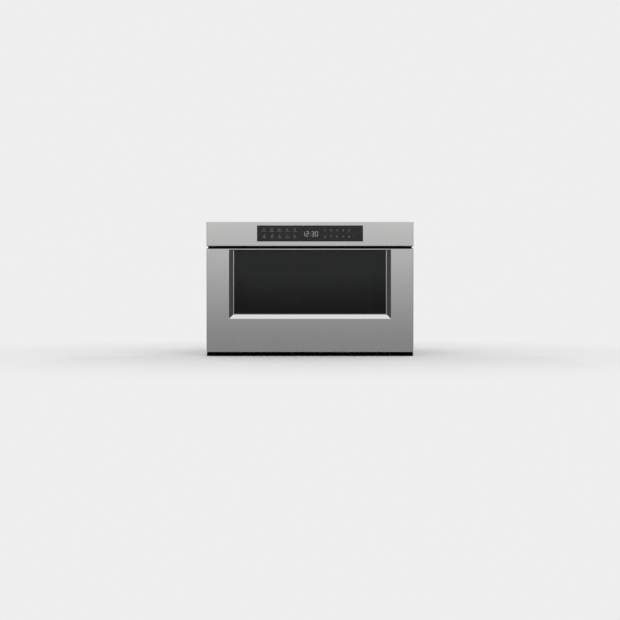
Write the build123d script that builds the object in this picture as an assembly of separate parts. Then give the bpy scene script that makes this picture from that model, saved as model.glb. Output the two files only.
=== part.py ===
from build123d import *
from math import acos, cos, pi, radians, sin, sqrt, tan
import os

# A microwave drawer built in under a counter. Millimetres. +X is the viewer's right, the front
# faces -Y and +Z is up. The origin is the centre of the bounding box's bottom.

# ---- Driving dimensions ----------------------------------------------------------------------
FACE_WIDTH = 606.4
FACE_HEIGHT = 393.8
OVERALL_DEPTH = 590.0
CASE_WIDTH = 552.0
CASE_DROP = 21.8
DOOR_DEPTH = 38.0
FASCIA_HEIGHT = 71.4
TRIM_ZONE = 12.3
FASCIA_GAP = 6.8
CAVITY_WIDTH = 464.0
SERVICE_DEPTH = 145.0
CAVITY_FLOOR = 103.0
CAVITY_DROP = 21.6

# ---- Clearances ------------------------------------------------------------------------------
DOOR_GAP = 1.0
SLIP = 0.2
RUNNING = 0.08

# ---- Sheet and wall thicknesses --------------------------------------------------------------
CASE_SHEET = 0.8
BASE_SHEET = 1.2
FRAME_SHEET = 1.2
CAVITY_SHEET = 0.8
SKIN = 1.0
DOOR_SHEET = 1.0
TUB_SHEET = 1.2
BRACKET_SHEET = 2.0

# ---- Stations along the depth ----------------------------------------------------------------
GLAND_REACH = 7.0
FRONT = -OVERALL_DEPTH / 2
DOOR_BACK = FRONT + DOOR_DEPTH
FRAME_FRONT = DOOR_BACK + DOOR_GAP
FRAME_BACK = FRAME_FRONT + FRAME_SHEET
REAR_FACE = OVERALL_DEPTH / 2 - GLAND_REACH
REAR_INSIDE = REAR_FACE - CASE_SHEET
CAVITY_DEPTH = OVERALL_DEPTH - SERVICE_DEPTH
CAVITY_BACK = FRAME_BACK + CAVITY_DEPTH

# ---- Stations across the width and up the height ---------------------------------------------
HALF_FACE = FACE_WIDTH / 2
HALF_CASE = CASE_WIDTH / 2
CASE_INSIDE = HALF_CASE - CASE_SHEET
HALF_CAVITY = CAVITY_WIDTH / 2
DOOR_BOTTOM = TRIM_ZONE
FASCIA_BOTTOM = FACE_HEIGHT - FASCIA_HEIGHT
DOOR_TOP = FASCIA_BOTTOM - FASCIA_GAP
CASE_HEIGHT = FACE_HEIGHT - CASE_DROP
CAVITY_CEILING = DOOR_TOP - CAVITY_DROP
CAVITY_RADIUS = 12.0

# ---- Front frame -----------------------------------------------------------------------------
FRAME_MARGIN = 1.0
CABINET_SCREW_X = 576.0
CABINET_SCREW_Z = 250.0
CABINET_SCREW_MID = 190.0
CABINET_SCREW_RADIUS = 2.5
SLOT_CLEAR = 1.5
VENT_SLOT_WIDTH = 60.0
VENT_SLOT_PITCH = 72.0
VENT_SLOT_COUNT = 7
VENT_SLOT_LOW = 3.0
VENT_SLOT_HIGH = 9.6

# ---- Base, case and rear cover ---------------------------------------------------------------
BASE_FLANGE = 12.0
INTAKE_LENGTH = 60.0
INTAKE_WIDTH = 5.0
INTAKE_PITCH = 14.0
INTAKE_COUNT = 6
BEAD_WIDTH = 16.0
BEAD_HEIGHT = 2.0
BEAD_MARGIN = 60.0
BEAD_PITCH = 110.0
BEAD_COUNT = 3
REAR_FLANGE = 12.0
GRILLE_SLOT = 5.0
GRILLE_PITCH = 11.0
GRILLE_COUNT = 11

# ---- Cavity and antenna ----------------------------------------------------------------------
WELL_RADIUS = 98.0
WELL_DEPTH = 16.0
COVER_RIM = 6.0
COVER_CORNER = 40.0
COVER_THICKNESS = 1.5
COUPLING_HALF = 20.0
ANTENNA_RADIUS = 84.0
ANTENNA_SHEET = 1.5
ANTENNA_LIFT = 5.0
ANTENNA_HUB_RADIUS = 9.0
ANTENNA_HUB_HEIGHT = 7.0
ANTENNA_SHAFT_RADIUS = 3.0
ANTENNA_MOTOR_RADIUS = 25.0
ANTENNA_MOTOR_HEIGHT = 16.0
ANTENNA_SHAFT_SEAT = 13.0

# ---- Waveguide and magnetron -----------------------------------------------------------------
GUIDE_HEIGHT = 32.0
GUIDE_HALF_WIDTH = 41.0
GUIDE_SHEET = 1.0
GUIDE_START = -30.0
GUIDE_END = 116.0
GUIDE_FOOT = 8.0
GUIDE_CHAMFER = 22.0
MAGNETRON_Z = 36.0
MAGNETRON_HALF_HEIGHT = 28.0
MAGNETRON_HALF_WIDTH = 36.0
YOKE_LENGTH = 48.0
YOKE_SHEET = 1.5
ANODE_RADIUS = 18.0
ANODE_SIDES = 12
FIN_COUNT = 4
FIN_SHEET = 0.8
DOME_RADIUS = 7.5
DOME_REACH = 20.0
FILTER_BOX_LENGTH = 38.0
FILTER_BOX_INSET = 5.0
CONNECTOR_SIZE = 12.0

# ---- Power supply ----------------------------------------------------------------------------
TRANSFORMER_X = -175.0
TRANSFORMER_Y = 110.0
CORE_WIDTH = 104.0
CORE_HEIGHT = 84.0
CORE_STACK = 62.0
CORE_LEG = 34.0
CORE_WINDOW_WIDTH = 18.0
CORE_WINDOW_HEIGHT = 50.0
WINDING_REACH = 16.0
PRIMARY_SHARE = 0.56
WINDING_GAP = 2.0
CAPACITOR_X = -75.0
CAPACITOR_START = 90.0
CAPACITOR_LENGTH = 92.0
CAPACITOR_WIDTH = 52.0
CAPACITOR_HEIGHT = 32.0
FILTER_BOARD_X = (-262.0, -176.0)
FILTER_BOARD_DEPTH = 66.0
FILTER_SETBACK = 15.2
FILTER_BOARD_Y = (REAR_INSIDE - FILTER_SETBACK - FILTER_BOARD_DEPTH, REAR_INSIDE - FILTER_SETBACK)
STANDOFF_HEIGHT = 10.0
STANDOFF_RADIUS = 3.0
BOARD_SHEET = 1.6
COIL_RADIUS = 12.0
COIL_HEIGHT = 12.0
FILTER_CAP_PITCH = 52.0
FILTER_CAP_LENGTH = 24.0
FILTER_CAP_WIDTH = 12.0
FILTER_CAP_HEIGHT = 18.0
FUSE_LENGTH = 36.0
FUSE_WIDTH = 6.0
GLAND_X = -215.0
GLAND_Z = 66.0
GLAND_BORE = 5.0
GLAND_LENGTH = 24.0
GLAND_BODY = 8.8
GLAND_NOSE = 13.0
GLAND_NUT_SIDES = 6
GLAND_NOSE_SIDES = 12

# ---- Fan -------------------------------------------------------------------------------------
FAN_SETBACK = 81.2
FAN_X = 155.0
FAN_Z = 80.0
FAN_RADIUS = 58.0
FAN_TIP_GAP = 3.0
FAN_PLATE_Y = REAR_INSIDE - FAN_SETBACK
FAN_PLATE_HALF_WIDTH = 80.0
FAN_PLATE_TOP = 165.0
FAN_SHEET = 1.5
FAN_RING_DEPTH = 18.0
FAN_BLADES = 5
FAN_HUB_RADIUS = 15.0
FAN_HUB_LENGTH = 14.0
FAN_BLADE_SHEET = 1.6
FAN_PITCH = 28.0
FAN_CHORD = 38.0
FAN_ROOT_CHORD = 18.0
FAN_MOTOR_GAP = 30.0
FAN_MOTOR_SIZE = 56.0
FAN_MOTOR_DEPTH = 22.0
FAN_COIL_LOW = 22.4
FAN_COIL_HIGH = 8.4
FAN_COIL_HALF = 12.6
FAN_WINDOW_HALF = 21.0
FAN_SHAFT_SEAT = 17.6
FAN_SHAFT_RADIUS = 2.5
FAN_STRUT_RADIUS = 3.0
FAN_BAR_HALF_HEIGHT = 8.0

# ---- Lamp and thermal cut-outs ---------------------------------------------------------------
LAMP_X = -100.0
LAMP_DROP = 54.0
LAMP_Z = CAVITY_CEILING - LAMP_DROP
LAMP_BOX = 22.0
LAMP_BOX_DEPTH = 48.0
LAMP_SOCKET_RADIUS = 13.0
LAMP_SOCKET_LENGTH = 24.0
BULB_RADIUS = 11.0
BULB_LENGTH = 36.0
LAMP_SLOT_COUNT = 5
LAMP_SLOT_WIDTH = 3.0
LAMP_SLOT_HEIGHT = 30.0
LAMP_SLOT_PITCH = 7.0
CUTOUT_RADIUS = 8.0
CUTOUT_HEIGHT = 8.0
CUTOUT_PLATE_LENGTH = 36.0
CUTOUT_PLATE_WIDTH = 12.0
CUTOUT_X = 150.0
CUTOUT_Y = 60.0

# ---- Control panel ---------------------------------------------------------------------------
CONTROL_WIDTH = 309.8
CONTROL_RISE = 1.3
CONTROL_HEIGHT = 46.6
CONTROL_TOP = FACE_HEIGHT - (FASCIA_HEIGHT - CONTROL_HEIGHT) / 2 + CONTROL_RISE
CONTROL_BOTTOM = CONTROL_TOP - CONTROL_HEIGHT
CONTROL_GLASS = 3.0
CONTROL_LEDGE = 4.0
HOUSING_WALL = 8.0
HOUSING_DEPTH = 30.0
HOUSING_BACK = 2.0
BOSS_SPREAD = 279.0
HOUSING_RIB_PITCH = 124.0
BOARD_PART_PLACES = (-102.0, 77.5, 118.0)
BOARD_PART_WIDTH = 16.8
BOARD_PART_HEIGHT = 19.2
BOARD_PART_DEPTH = 9.6
BOARD_STAND = 6.0
DISPLAY_WIDTH = 60.0
DISPLAY_HEIGHT = 26.0
FASCIA_EDGE = 1.6

# ---- Vent trim -------------------------------------------------------------------------------
TRIM_CLEAR = 1.5
TRIM_RECESS = 12.0
TRIM_LIFT = 0.3
TRIM_WALL = 1.8
TRIM_SLOT_COUNT = 12
TRIM_SLOT_PITCH = 48.0
TRIM_SLOT_WIDTH = 40.0
TRIM_SLOT_MARGIN = 3.2

# ---- Drawer front ----------------------------------------------------------------------------
DOOR_EDGE = 2.0
DOOR_RETURN = 33.0
WINDOW_HALF_WIDTH = 237.2
WINDOW_BOTTOM = 109.5
WINDOW_MARGIN = 4.6
WINDOW_TOP = DOOR_TOP - WINDOW_MARGIN
BEVEL = 12.0
RECESS = 9.0
BEZEL_LIP = 3.0
BEZEL_SHEET = 1.2
BEZEL_FLANGE = 8.0
GLASS_THICKNESS = 4.0
GLASS_OVERLAP = 8.0
GLASS_TOP_OVERLAP = 2.5
VIEW_HALF_WIDTH = 184.0
VIEW_BOTTOM = 135.0
VIEW_DROP = 67.0
VIEW_TOP = WINDOW_TOP - VIEW_DROP
SCREEN_SHEET = 0.8
SCREEN_OVERLAP = 8.0
INNER_GLASS = 4.0
INNER_VIEW_INSET = 8.0
CHOKE_INSET = 3.0
CHOKE_WIDTH = 21.0
CHOKE_TOP_WIDTH = 15.0
CHOKE_COVER = 2.2
CHOKE_LIP_DEPTH = 8.0
CHOKE_LIP = 1.2

# ---- Tub -------------------------------------------------------------------------------------
TUB_SIDE_GAP = 10.5
TUB_BACK_GAP = 16.0
TUB_LIFT = 3.5
TUB_DROP = 10.0
TUB_TOP = CAVITY_CEILING - TUB_DROP
TUB_CORNER = 22.0
TUB_RIM = 6.0
TUB_FRONT_FLANGE = 7.0
TUB_LEDGE = 12.0
TRAY_THICKNESS = 4.0

# ---- Carriage, slides and brackets -----------------------------------------------------------
SLIDE_WIDTH = 12.7
SLIDE_DROP = 104.0
SLIDE_Z = CAVITY_CEILING - SLIDE_DROP
SLIDE_SHEET = 1.2
SLIDE_EXTRA = 5.0
SLIDE_LENGTH = CAVITY_DEPTH + SLIDE_EXTRA
SLIDE_OVERLAP = 69.0
TRAVEL = SLIDE_LENGTH - SLIDE_OVERLAP
SLIDE_START = 2.5
OUTER_HALF_HEIGHT = 22.9
OUTER_DEPTH = 10.5
OUTER_LIP = 1.8
RACE = 4.8
WEB_GAP = 0.5
MIDDLE_DEPTH = 11.0
INNER_REACH = 4.5
ROLLER_RADIUS = 2.2
ROLLER_LENGTH = 4.0
ROLLER_COUNT = 2
ROLLER_PITCH = 108.0
ROLLER_SIDES = 8
CAGE_SHEET = 0.9
CAGE_START = 128.0
ARM_RISE = 16.0
ARM_TOP = SLIDE_Z + ARM_RISE
ARM_TAIL = 6.0
ARM_FLANGE = 12.0
ARM_WINDOW_COUNT = 5
ARM_WINDOW_LENGTH = 56.0
WINDOW_CORNER = 12.0
ARM_RAIL = 16.0
SLIDE_SEAT = 14.0
BRACKET_RISE = 26.0
BRACKET_TOP = SLIDE_Z + BRACKET_RISE
BRACKET_FOOT = 20.0
BRACKET_WINDOW_LOW = 64.0
BRACKET_WINDOW_HEIGHT = 56.0
BRACKET_WINDOW_COUNT = 4
BRACKET_WINDOW_LENGTH = 56.0

# ---- Drive: racks, pinions, shaft and gear motor ---------------------------------------------
SHAFT_SETBACK = 42.0
SHAFT_Z = 74.0
SHAFT_RADIUS = 4.0
SHAFT_END = 1.4
RACK_MODULE = 3.0
PINION_TEETH = 12
PINION_FACE = 8.0
PINION_SIDE = 1.0
RACK_FACE = 10.0
RACK_BACK = 9.0
RACK_OVERRUN = 12.0
PRESSURE_ANGLE = 25.0
STUB_ADDENDUM = 0.8
DEDENDUM = 1.05
BACKLASH = 0.25
UPRIGHT = 90.0
GEAR_MODULE = 2.0
DRIVEN_TEETH = 20
MOTOR_TEETH = 14
GEAR_FACE = 8.0
GEAR_X = -116.0
MESH_ANGLE = -50.0
MOTOR_SHAFT_RADIUS = 3.0
MOTOR_SHAFT_SEAT = 14.0
GEARBOX_GAP = 6.0
GEARBOX_LENGTH = 40.0
GEARBOX_FRONT = 9.5
GEARBOX_DEPTH = 64.0
GEARBOX_HEIGHT = 60.0
GEARBOX_CORNER = 8.0
MOTOR_CAN_RADIUS = 19.0
MOTOR_CAN_LENGTH = 52.0
PEDESTAL_THICKNESS = 8.0
PEDESTAL_GAP = 6.5
PEDESTAL_WIDTH = 24.0
PEDESTAL_FOOT = 10.0

# ---- Interlock -------------------------------------------------------------------------------
LATCH_X = 265.0
LATCH_DROP = 39.0
LATCH_Z = CAVITY_CEILING - LATCH_DROP
LATCH_REACH = 35.0
LATCH_THICKNESS = 5.0
LATCH_HEIGHT = 12.0
LATCH_NOSE = 4.0
LATCH_BASE = 2.0
LATCH_SLOT_CLEAR = 3.0
LEVER_GAP = 0.4
LEVER_THICKNESS = 6.0
LEVER_FINGER = 7.0
LEVER_DROP = 19.0
LEVER_RISE = 16.0
PIN_RADIUS = 2.5
LEVER_EYE = 6.0
SWITCH_LENGTH = 28.0
SWITCH_HEIGHT = 10.0
SWITCH_WIDTH = 15.0
SWITCH_PITCH = 11.0
PLUNGER_REACH = 2.0
PLUNGER_HALF = 1.5
LATCH_BRACKET = 3.0
LATCH_BRACKET_X = 270.5

# ---- Exhaust duct ----------------------------------------------------------------------------
DUCT_WALL = 1.5
DUCT_X = (80.0, 232.0)
DUCT_LOW = 2.0
DUCT_HIGH = 13.0
DUCT_GAP = 1.0

# ---- Derived stations ------------------------------------------------------------------------
BRACKET_FACE = CASE_INSIDE - BRACKET_SHEET
ARM_FACE = BRACKET_FACE - SLIDE_WIDTH
ARM_INSIDE = ARM_FACE - BRACKET_SHEET
SLIDE_Y = (FRAME_BACK + SLIDE_START, FRAME_BACK + SLIDE_START + SLIDE_LENGTH)
MIDDLE_HALF_HEIGHT = OUTER_HALF_HEIGHT - SLIDE_SHEET - RACE
INNER_HALF_HEIGHT = MIDDLE_HALF_HEIGHT - SLIDE_SHEET - RACE
SHAFT_Y = DOOR_BACK + SHAFT_SETBACK
PINION_RADIUS = RACK_MODULE * PINION_TEETH / 2
RACK_PITCH_Z = SHAFT_Z + PINION_RADIUS
RACK_ROOT_Z = RACK_PITCH_Z + DEDENDUM * RACK_MODULE
RACK_Y = (SHAFT_Y - RACK_OVERRUN, SHAFT_Y + TRAVEL + RACK_OVERRUN)
DRIVEN_RADIUS = GEAR_MODULE * DRIVEN_TEETH / 2
MOTOR_RADIUS = GEAR_MODULE * MOTOR_TEETH / 2
MOTOR_Y = SHAFT_Y + (DRIVEN_RADIUS + MOTOR_RADIUS) * cos(radians(MESH_ANGLE))
MOTOR_Z = SHAFT_Z + (DRIVEN_RADIUS + MOTOR_RADIUS) * sin(radians(MESH_ANGLE))
TUB_HALF_WIDTH = HALF_CAVITY - TUB_SIDE_GAP
TUB_BACK = CAVITY_BACK - TUB_BACK_GAP
TUB_BOTTOM = CAVITY_FLOOR + TUB_LIFT
WELL_FLOOR = CAVITY_FLOOR - WELL_DEPTH
GUIDE_TOP = WELL_FLOOR - CAVITY_SHEET
GUIDE_BOTTOM = GUIDE_TOP - GUIDE_HEIGHT
ANTENNA_Z = WELL_FLOOR + ANTENNA_LIFT
GLASS_FRONT = FRONT + RECESS + BEZEL_SHEET
GLASS_BACK = GLASS_FRONT + GLASS_THICKNESS
PLATE_BACK = GLASS_BACK + DOOR_SHEET
SEAL_FRONT = DOOR_BACK - DOOR_SHEET
CHOKE_IN_X = HALF_CAVITY + CHOKE_INSET
CHOKE_OUT_X = CHOKE_IN_X + CHOKE_WIDTH
CHOKE_IN_Z = (CAVITY_FLOOR - CHOKE_INSET, CAVITY_CEILING + CHOKE_INSET)
CHOKE_OUT_Z = (CHOKE_IN_Z[0] - CHOKE_WIDTH, CHOKE_IN_Z[1] + CHOKE_TOP_WIDTH)
LATCH_TIP = DOOR_BACK + LATCH_REACH
LEVER_Y = LATCH_TIP + LEVER_GAP + LEVER_FINGER / 2
LEVER_Z = LATCH_Z - LEVER_DROP


# ---- Shapes used by many pieces --------------------------------------------------------------
def block(x, y, z):
    """Box between three pairs of limits."""
    sizes = [high - low for low, high in (x, y, z)]
    middle = [(low + high) / 2 for low, high in (x, y, z)]
    return Pos(*middle) * Box(*sizes)


def facing(y):
    """Plane across the depth at y, with X to the right and Z up."""
    return Plane(origin=(0, y, 0), x_dir=(1, 0, 0), z_dir=(0, -1, 0))


def rounded(x, y, z, radius):
    """Panel that faces the front, with rounded corners, between three pairs of limits."""
    place = Pos((x[0] + x[1]) / 2, (z[0] + z[1]) / 2)
    outline = place * RectangleRounded(x[1] - x[0], z[1] - z[0], radius)
    return extrude(facing(y[1]) * outline, y[1] - y[0])


def rod_x(x, y, z, radius):
    """Round bar along X between the limits x."""
    return Pos((x[0] + x[1]) / 2, y, z) * Rot(0, 90, 0) * Cylinder(radius, x[1] - x[0])


def rod_y(x, y, z, radius):
    """Round bar along Y between the limits y."""
    return Pos(x, (y[0] + y[1]) / 2, z) * Rot(90, 0, 0) * Cylinder(radius, y[1] - y[0])


def rod_z(x, y, z, radius):
    """Round bar along Z between the limits z."""
    return Pos(x, y, (z[0] + z[1]) / 2) * Cylinder(radius, z[1] - z[0])


def span(half):
    """Limits that are symmetric about zero."""
    return (-half, half)


def around(middle, half):
    """Limits at equal distances from a middle."""
    return (middle - half, middle + half)


def grown(limits, by):
    """Limits moved outward by a distance, or inward by a negative one."""
    return (limits[0] - by, limits[1] + by)


def row(count, pitch, middle=0.0):
    """Evenly spaced places, centred on a middle."""
    return [middle + (index - (count - 1) / 2) * pitch for index in range(count)]


def joined(pieces):
    """One solid from pieces that meet."""
    total = pieces[0]
    for piece in pieces[1:]:
        total = total + piece
    return total


def without(body, cuts):
    """The body less each cut."""
    for cut in cuts:
        body = body - cut
    return body


def mirrored(shape):
    """The left-hand twin of a right-hand piece."""
    return mirror(shape, about=Plane.YZ)


def save(name, *solids):
    """Write one sub-part, which may be a group of separate solids."""
    shape = solids[0] if len(solids) == 1 else Compound(children=list(solids))
    export_step(shape, f"parts/{name}.step")


def frustum(front, back, y):
    """Flat-sided taper between a front and a back opening, each given as (x limits, z limits).

    It is the common part of a plan outline carried up the height and a side outline carried across.
    """
    plan = make_face(Polyline(
        (front[0][0], y[0]), (front[0][1], y[0]), (back[0][1], y[1]), (back[0][0], y[1]), close=True))
    side = make_face(Polyline(
        (y[0], front[1][0]), (y[1], back[1][0]), (y[1], back[1][1]), (y[0], front[1][1]), close=True))
    low_x = min(front[0][0], back[0][0])
    high_x = max(front[0][1], back[0][1])
    low_z = min(front[1][0], back[1][0])
    high_z = max(front[1][1], back[1][1])
    across = extrude(Plane.YZ.offset(low_x) * side, high_x - low_x)
    return extrude(Pos(0, 0, low_z) * plan, high_z - low_z) & across


def notched(length, height, corner):
    """Rectangle with its corners cut off, for windows in sheet metal."""
    outline = Rectangle(length, height)
    return chamfer(outline.vertices(), corner)


def involute_gear(teeth, module, x, y, z, bore, tooth_angle):
    """Spur gear along X between the limits x, with a tooth centred on tooth_angle in the YZ plane.

    Each flank is the chord of the involute between the root and the tip circles, so it never reaches
    outside the true curve.
    """
    pitch_radius = module * teeth / 2
    base_radius = pitch_radius * cos(radians(PRESSURE_ANGLE))
    tip_radius = pitch_radius + STUB_ADDENDUM * module
    root_radius = pitch_radius - DEDENDUM * module
    half_at_pitch = (pi * module / 2 - BACKLASH / 2) / (2 * pitch_radius)

    def involute(radius):
        angle = acos(min(1.0, base_radius / radius))
        return tan(angle) - angle

    def half_angle(radius):
        return half_at_pitch + involute(pitch_radius) - involute(max(radius, base_radius))

    points = []
    for tooth in range(teeth):
        centre = radians(tooth_angle) + 2 * pi * tooth / teeth
        for radius, side in ((root_radius, -1), (tip_radius, -1), (tip_radius, 1), (root_radius, 1)):
            turn = centre + side * half_angle(radius)
            points.append((radius * cos(turn), radius * sin(turn)))
    outline = make_face(Polyline(*points, close=True)) - Circle(bore)
    return extrude(Plane.YZ.offset(x[0]) * Pos(y, z) * outline, x[1] - x[0])


# ---- Chassis sheet metal ---------------------------------------------------------------------
def base_plate():
    """Floor pan with upturned flanges front and back, and air slots under the supply."""
    sheet = block(span(HALF_CASE), (FRAME_BACK, REAR_INSIDE), (0, BASE_SHEET))
    flange_z = (0, BASE_FLANGE)
    front = block(span(BRACKET_FACE - BRACKET_FOOT), (FRAME_BACK, FRAME_BACK + BASE_SHEET), flange_z)
    back_y = (REAR_INSIDE - CASE_SHEET - BASE_SHEET, REAR_INSIDE - CASE_SHEET)
    back = block(span(CASE_INSIDE), back_y, flange_z)
    vents = front_vents(FRAME_BACK - BASE_SHEET, FRAME_BACK + 2 * BASE_SHEET)
    slots = []
    for y in row(INTAKE_COUNT, INTAKE_PITCH, CAPACITOR_START - INTAKE_COUNT * INTAKE_PITCH):
        slot_x = around(CAPACITOR_X, INTAKE_LENGTH / 2)
        slots.append(block(slot_x, around(y, INTAKE_WIDTH / 2), (0, BASE_SHEET)))
    return without(joined([sheet, front, back]), vents + slots)


def front_vents(y_low, y_high):
    """Row of openings through which the cooling air leaves below the drawer."""
    vents = []
    z = (VENT_SLOT_LOW, VENT_SLOT_HIGH)
    for x in row(VENT_SLOT_COUNT, VENT_SLOT_PITCH):
        vents.append(block(around(x, VENT_SLOT_WIDTH / 2), (y_low, y_high), z))
    return vents


def outer_case():
    """Steel wrap over the top and both sides, with pressed beads."""
    y = (FRAME_BACK, REAR_INSIDE)
    outside = block(span(HALF_CASE), y, (BASE_SHEET, CASE_HEIGHT))
    inside = block(span(CASE_INSIDE), y, (0, CASE_HEIGHT - CASE_SHEET))
    wrap = outside - inside
    bead_y = grown(y, -BEAD_MARGIN)
    groove_y = grown(bead_y, -CASE_SHEET)
    half = BEAD_WIDTH / 2
    for x in row(BEAD_COUNT, BEAD_PITCH):
        raised = block(around(x, half), bead_y, (CASE_HEIGHT - CASE_SHEET - BEAD_HEIGHT, CASE_HEIGHT))
        groove_z = (CASE_HEIGHT - BEAD_HEIGHT, CASE_HEIGHT)
        wrap = wrap + raised - block(around(x, half - CASE_SHEET), groove_y, groove_z)
    bead_z = CASE_HEIGHT - BEAD_MARGIN
    raised = block((CASE_INSIDE, HALF_CASE + BEAD_HEIGHT), bead_y, around(bead_z, half))
    groove = block((CASE_INSIDE, CASE_INSIDE + BEAD_HEIGHT), groove_y, around(bead_z, half - CASE_SHEET))
    return wrap + raised - groove + mirrored(raised) - mirrored(groove)


def rear_cover():
    """Back sheet with forward flanges, the fan's intake grille and the gland's hole."""
    sheet = block(span(CASE_INSIDE), (REAR_INSIDE, REAR_FACE), (BASE_SHEET, CASE_HEIGHT - CASE_SHEET))
    flange_y = (REAR_INSIDE - REAR_FLANGE, REAR_FACE)
    box = block(span(CASE_INSIDE), flange_y, (BASE_FLANGE, CASE_HEIGHT - CASE_SHEET))
    inner_z = (0, CASE_HEIGHT - 2 * CASE_SHEET)
    hollow = block(span(CASE_INSIDE - CASE_SHEET), (flange_y[0], REAR_INSIDE), inner_z)
    foot = block(span(CASE_INSIDE), (REAR_INSIDE - CASE_SHEET, REAR_INSIDE), (BASE_SHEET, BASE_FLANGE))
    cuts = []
    for z in row(GRILLE_COUNT, GRILLE_PITCH, FAN_Z):
        width = 2 * sqrt(max(0.0, FAN_RADIUS**2 - (z - FAN_Z) ** 2)) + GRILLE_SLOT
        cuts.append(block(around(FAN_X, width / 2), (REAR_INSIDE, REAR_FACE), around(z, GRILLE_SLOT / 2)))
    cuts.append(rod_y(GLAND_X, (REAR_INSIDE, REAR_FACE), GLAND_Z, GLAND_BODY + SLIP))
    return without(box - hollow + sheet + foot, cuts)


def side_slot():
    """Opening in the front frame for the right-hand arm, rack and slide."""
    x = (ARM_INSIDE - SLOT_CLEAR, BRACKET_FACE + SLOT_CLEAR - SLIP)
    z = (RACK_PITCH_Z - RACK_MODULE * 2, SLIDE_Z + OUTER_HALF_HEIGHT + SLOT_CLEAR)
    return block(x, (FRAME_FRONT, FRAME_BACK), z)


def front_frame():
    """Flange plate behind the drawer front: cavity mouth, side slots, vents and cabinet screw holes."""
    y = (FRAME_FRONT, FRAME_BACK)
    plate = block(span(HALF_FACE - FRAME_MARGIN), y, (TRIM_LIFT, FACE_HEIGHT - SKIN))
    mouth = rounded(span(HALF_CAVITY), y, (CAVITY_FLOOR, CAVITY_CEILING), CAVITY_RADIUS)
    slot = side_slot()
    latch_x = around(LATCH_X, LATCH_THICKNESS / 2 + LATCH_SLOT_CLEAR)
    latch_z = around(LATCH_Z, LATCH_HEIGHT / 2 + LATCH_NOSE + LATCH_SLOT_CLEAR)
    latch_slot = block(latch_x, y, latch_z)
    cuts = [mouth, slot, mirrored(slot), latch_slot] + front_vents(*y)
    for x in row(2, CABINET_SCREW_X):
        for z in row(2, CABINET_SCREW_Z, CABINET_SCREW_MID):
            cuts.append(rod_y(x, y, z, CABINET_SCREW_RADIUS))
    return without(plate, cuts)


# ---- Cavity, antenna and microwave source ----------------------------------------------------
def cavity_liner():
    """Cooking cavity: rounded box open at the front, with the antenna's well pressed into its floor."""
    z = (CAVITY_FLOOR, CAVITY_CEILING)
    y = (FRAME_BACK, CAVITY_BACK)
    outside = rounded(
        span(HALF_CAVITY + CAVITY_SHEET), grown((y[0] + CAVITY_SHEET, y[1]), CAVITY_SHEET),
        grown(z, CAVITY_SHEET), CAVITY_RADIUS + CAVITY_SHEET)
    well = rod_z(0, 0, (WELL_FLOOR - CAVITY_SHEET, CAVITY_FLOOR), WELL_RADIUS + CAVITY_SHEET)
    cuts = [
        rounded(span(HALF_CAVITY), y, z, CAVITY_RADIUS),
        rod_z(0, 0, (WELL_FLOOR, CAVITY_FLOOR), WELL_RADIUS),
        block(span(COUPLING_HALF), span(COUPLING_HALF), (WELL_FLOOR - CAVITY_SHEET, WELL_FLOOR)),
    ]
    for x in row(LAMP_SLOT_COUNT, LAMP_SLOT_PITCH, LAMP_X):
        slot_x = around(x, LAMP_SLOT_WIDTH / 2)
        slot_z = around(LAMP_Z, LAMP_SLOT_HEIGHT / 2)
        cuts.append(block(slot_x, (CAVITY_BACK, CAVITY_BACK + CAVITY_SHEET), slot_z))
    return without(outside + well, cuts)


def antenna_cover():
    """Microwave-clear sheet with cut corners that lies over the well."""
    side = 2 * (WELL_RADIUS + COVER_RIM)
    return extrude(Pos(0, 0, CAVITY_FLOOR) * notched(side, side, COVER_CORNER), COVER_THICKNESS)


def guide_outline(inset):
    """Side outline of the waveguide: a level run that turns down at its far end."""
    left = GUIDE_START + inset
    right = GUIDE_END - inset
    top = GUIDE_TOP - inset
    under = GUIDE_BOTTOM + inset
    foot = GUIDE_FOOT + inset
    inner = GUIDE_END - GUIDE_HEIGHT + inset
    corner = GUIDE_CHAMFER - inset * (2 - sqrt(2))
    points = [
        (left, under), (inner, under), (inner, foot), (right, foot),
        (right, top - corner), (right - corner, top), (left, top),
    ]
    return make_face(Polyline(*points, close=True))


def waveguide():
    """Bent rectangular tube that carries the microwaves from the magnetron to the well."""
    outside = extrude(facing(GUIDE_HALF_WIDTH) * guide_outline(0), 2 * GUIDE_HALF_WIDTH)
    clear = GUIDE_HALF_WIDTH - GUIDE_SHEET
    inside = extrude(facing(clear) * guide_outline(GUIDE_SHEET), 2 * clear)
    shaft_hole = span(ANTENNA_SHAFT_RADIUS + GUIDE_SHEET)
    dome_hole = span(DOME_RADIUS + GUIDE_SHEET)
    cuts = [
        inside,
        block(span(COUPLING_HALF), span(COUPLING_HALF), (GUIDE_TOP - GUIDE_SHEET, GUIDE_TOP)),
        block(shaft_hole, shaft_hole, (GUIDE_BOTTOM, GUIDE_BOTTOM + GUIDE_SHEET)),
        block((GUIDE_END - GUIDE_SHEET, GUIDE_END), dome_hole, around(MAGNETRON_Z, dome_hole[1])),
    ]
    return without(outside, cuts)


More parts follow.
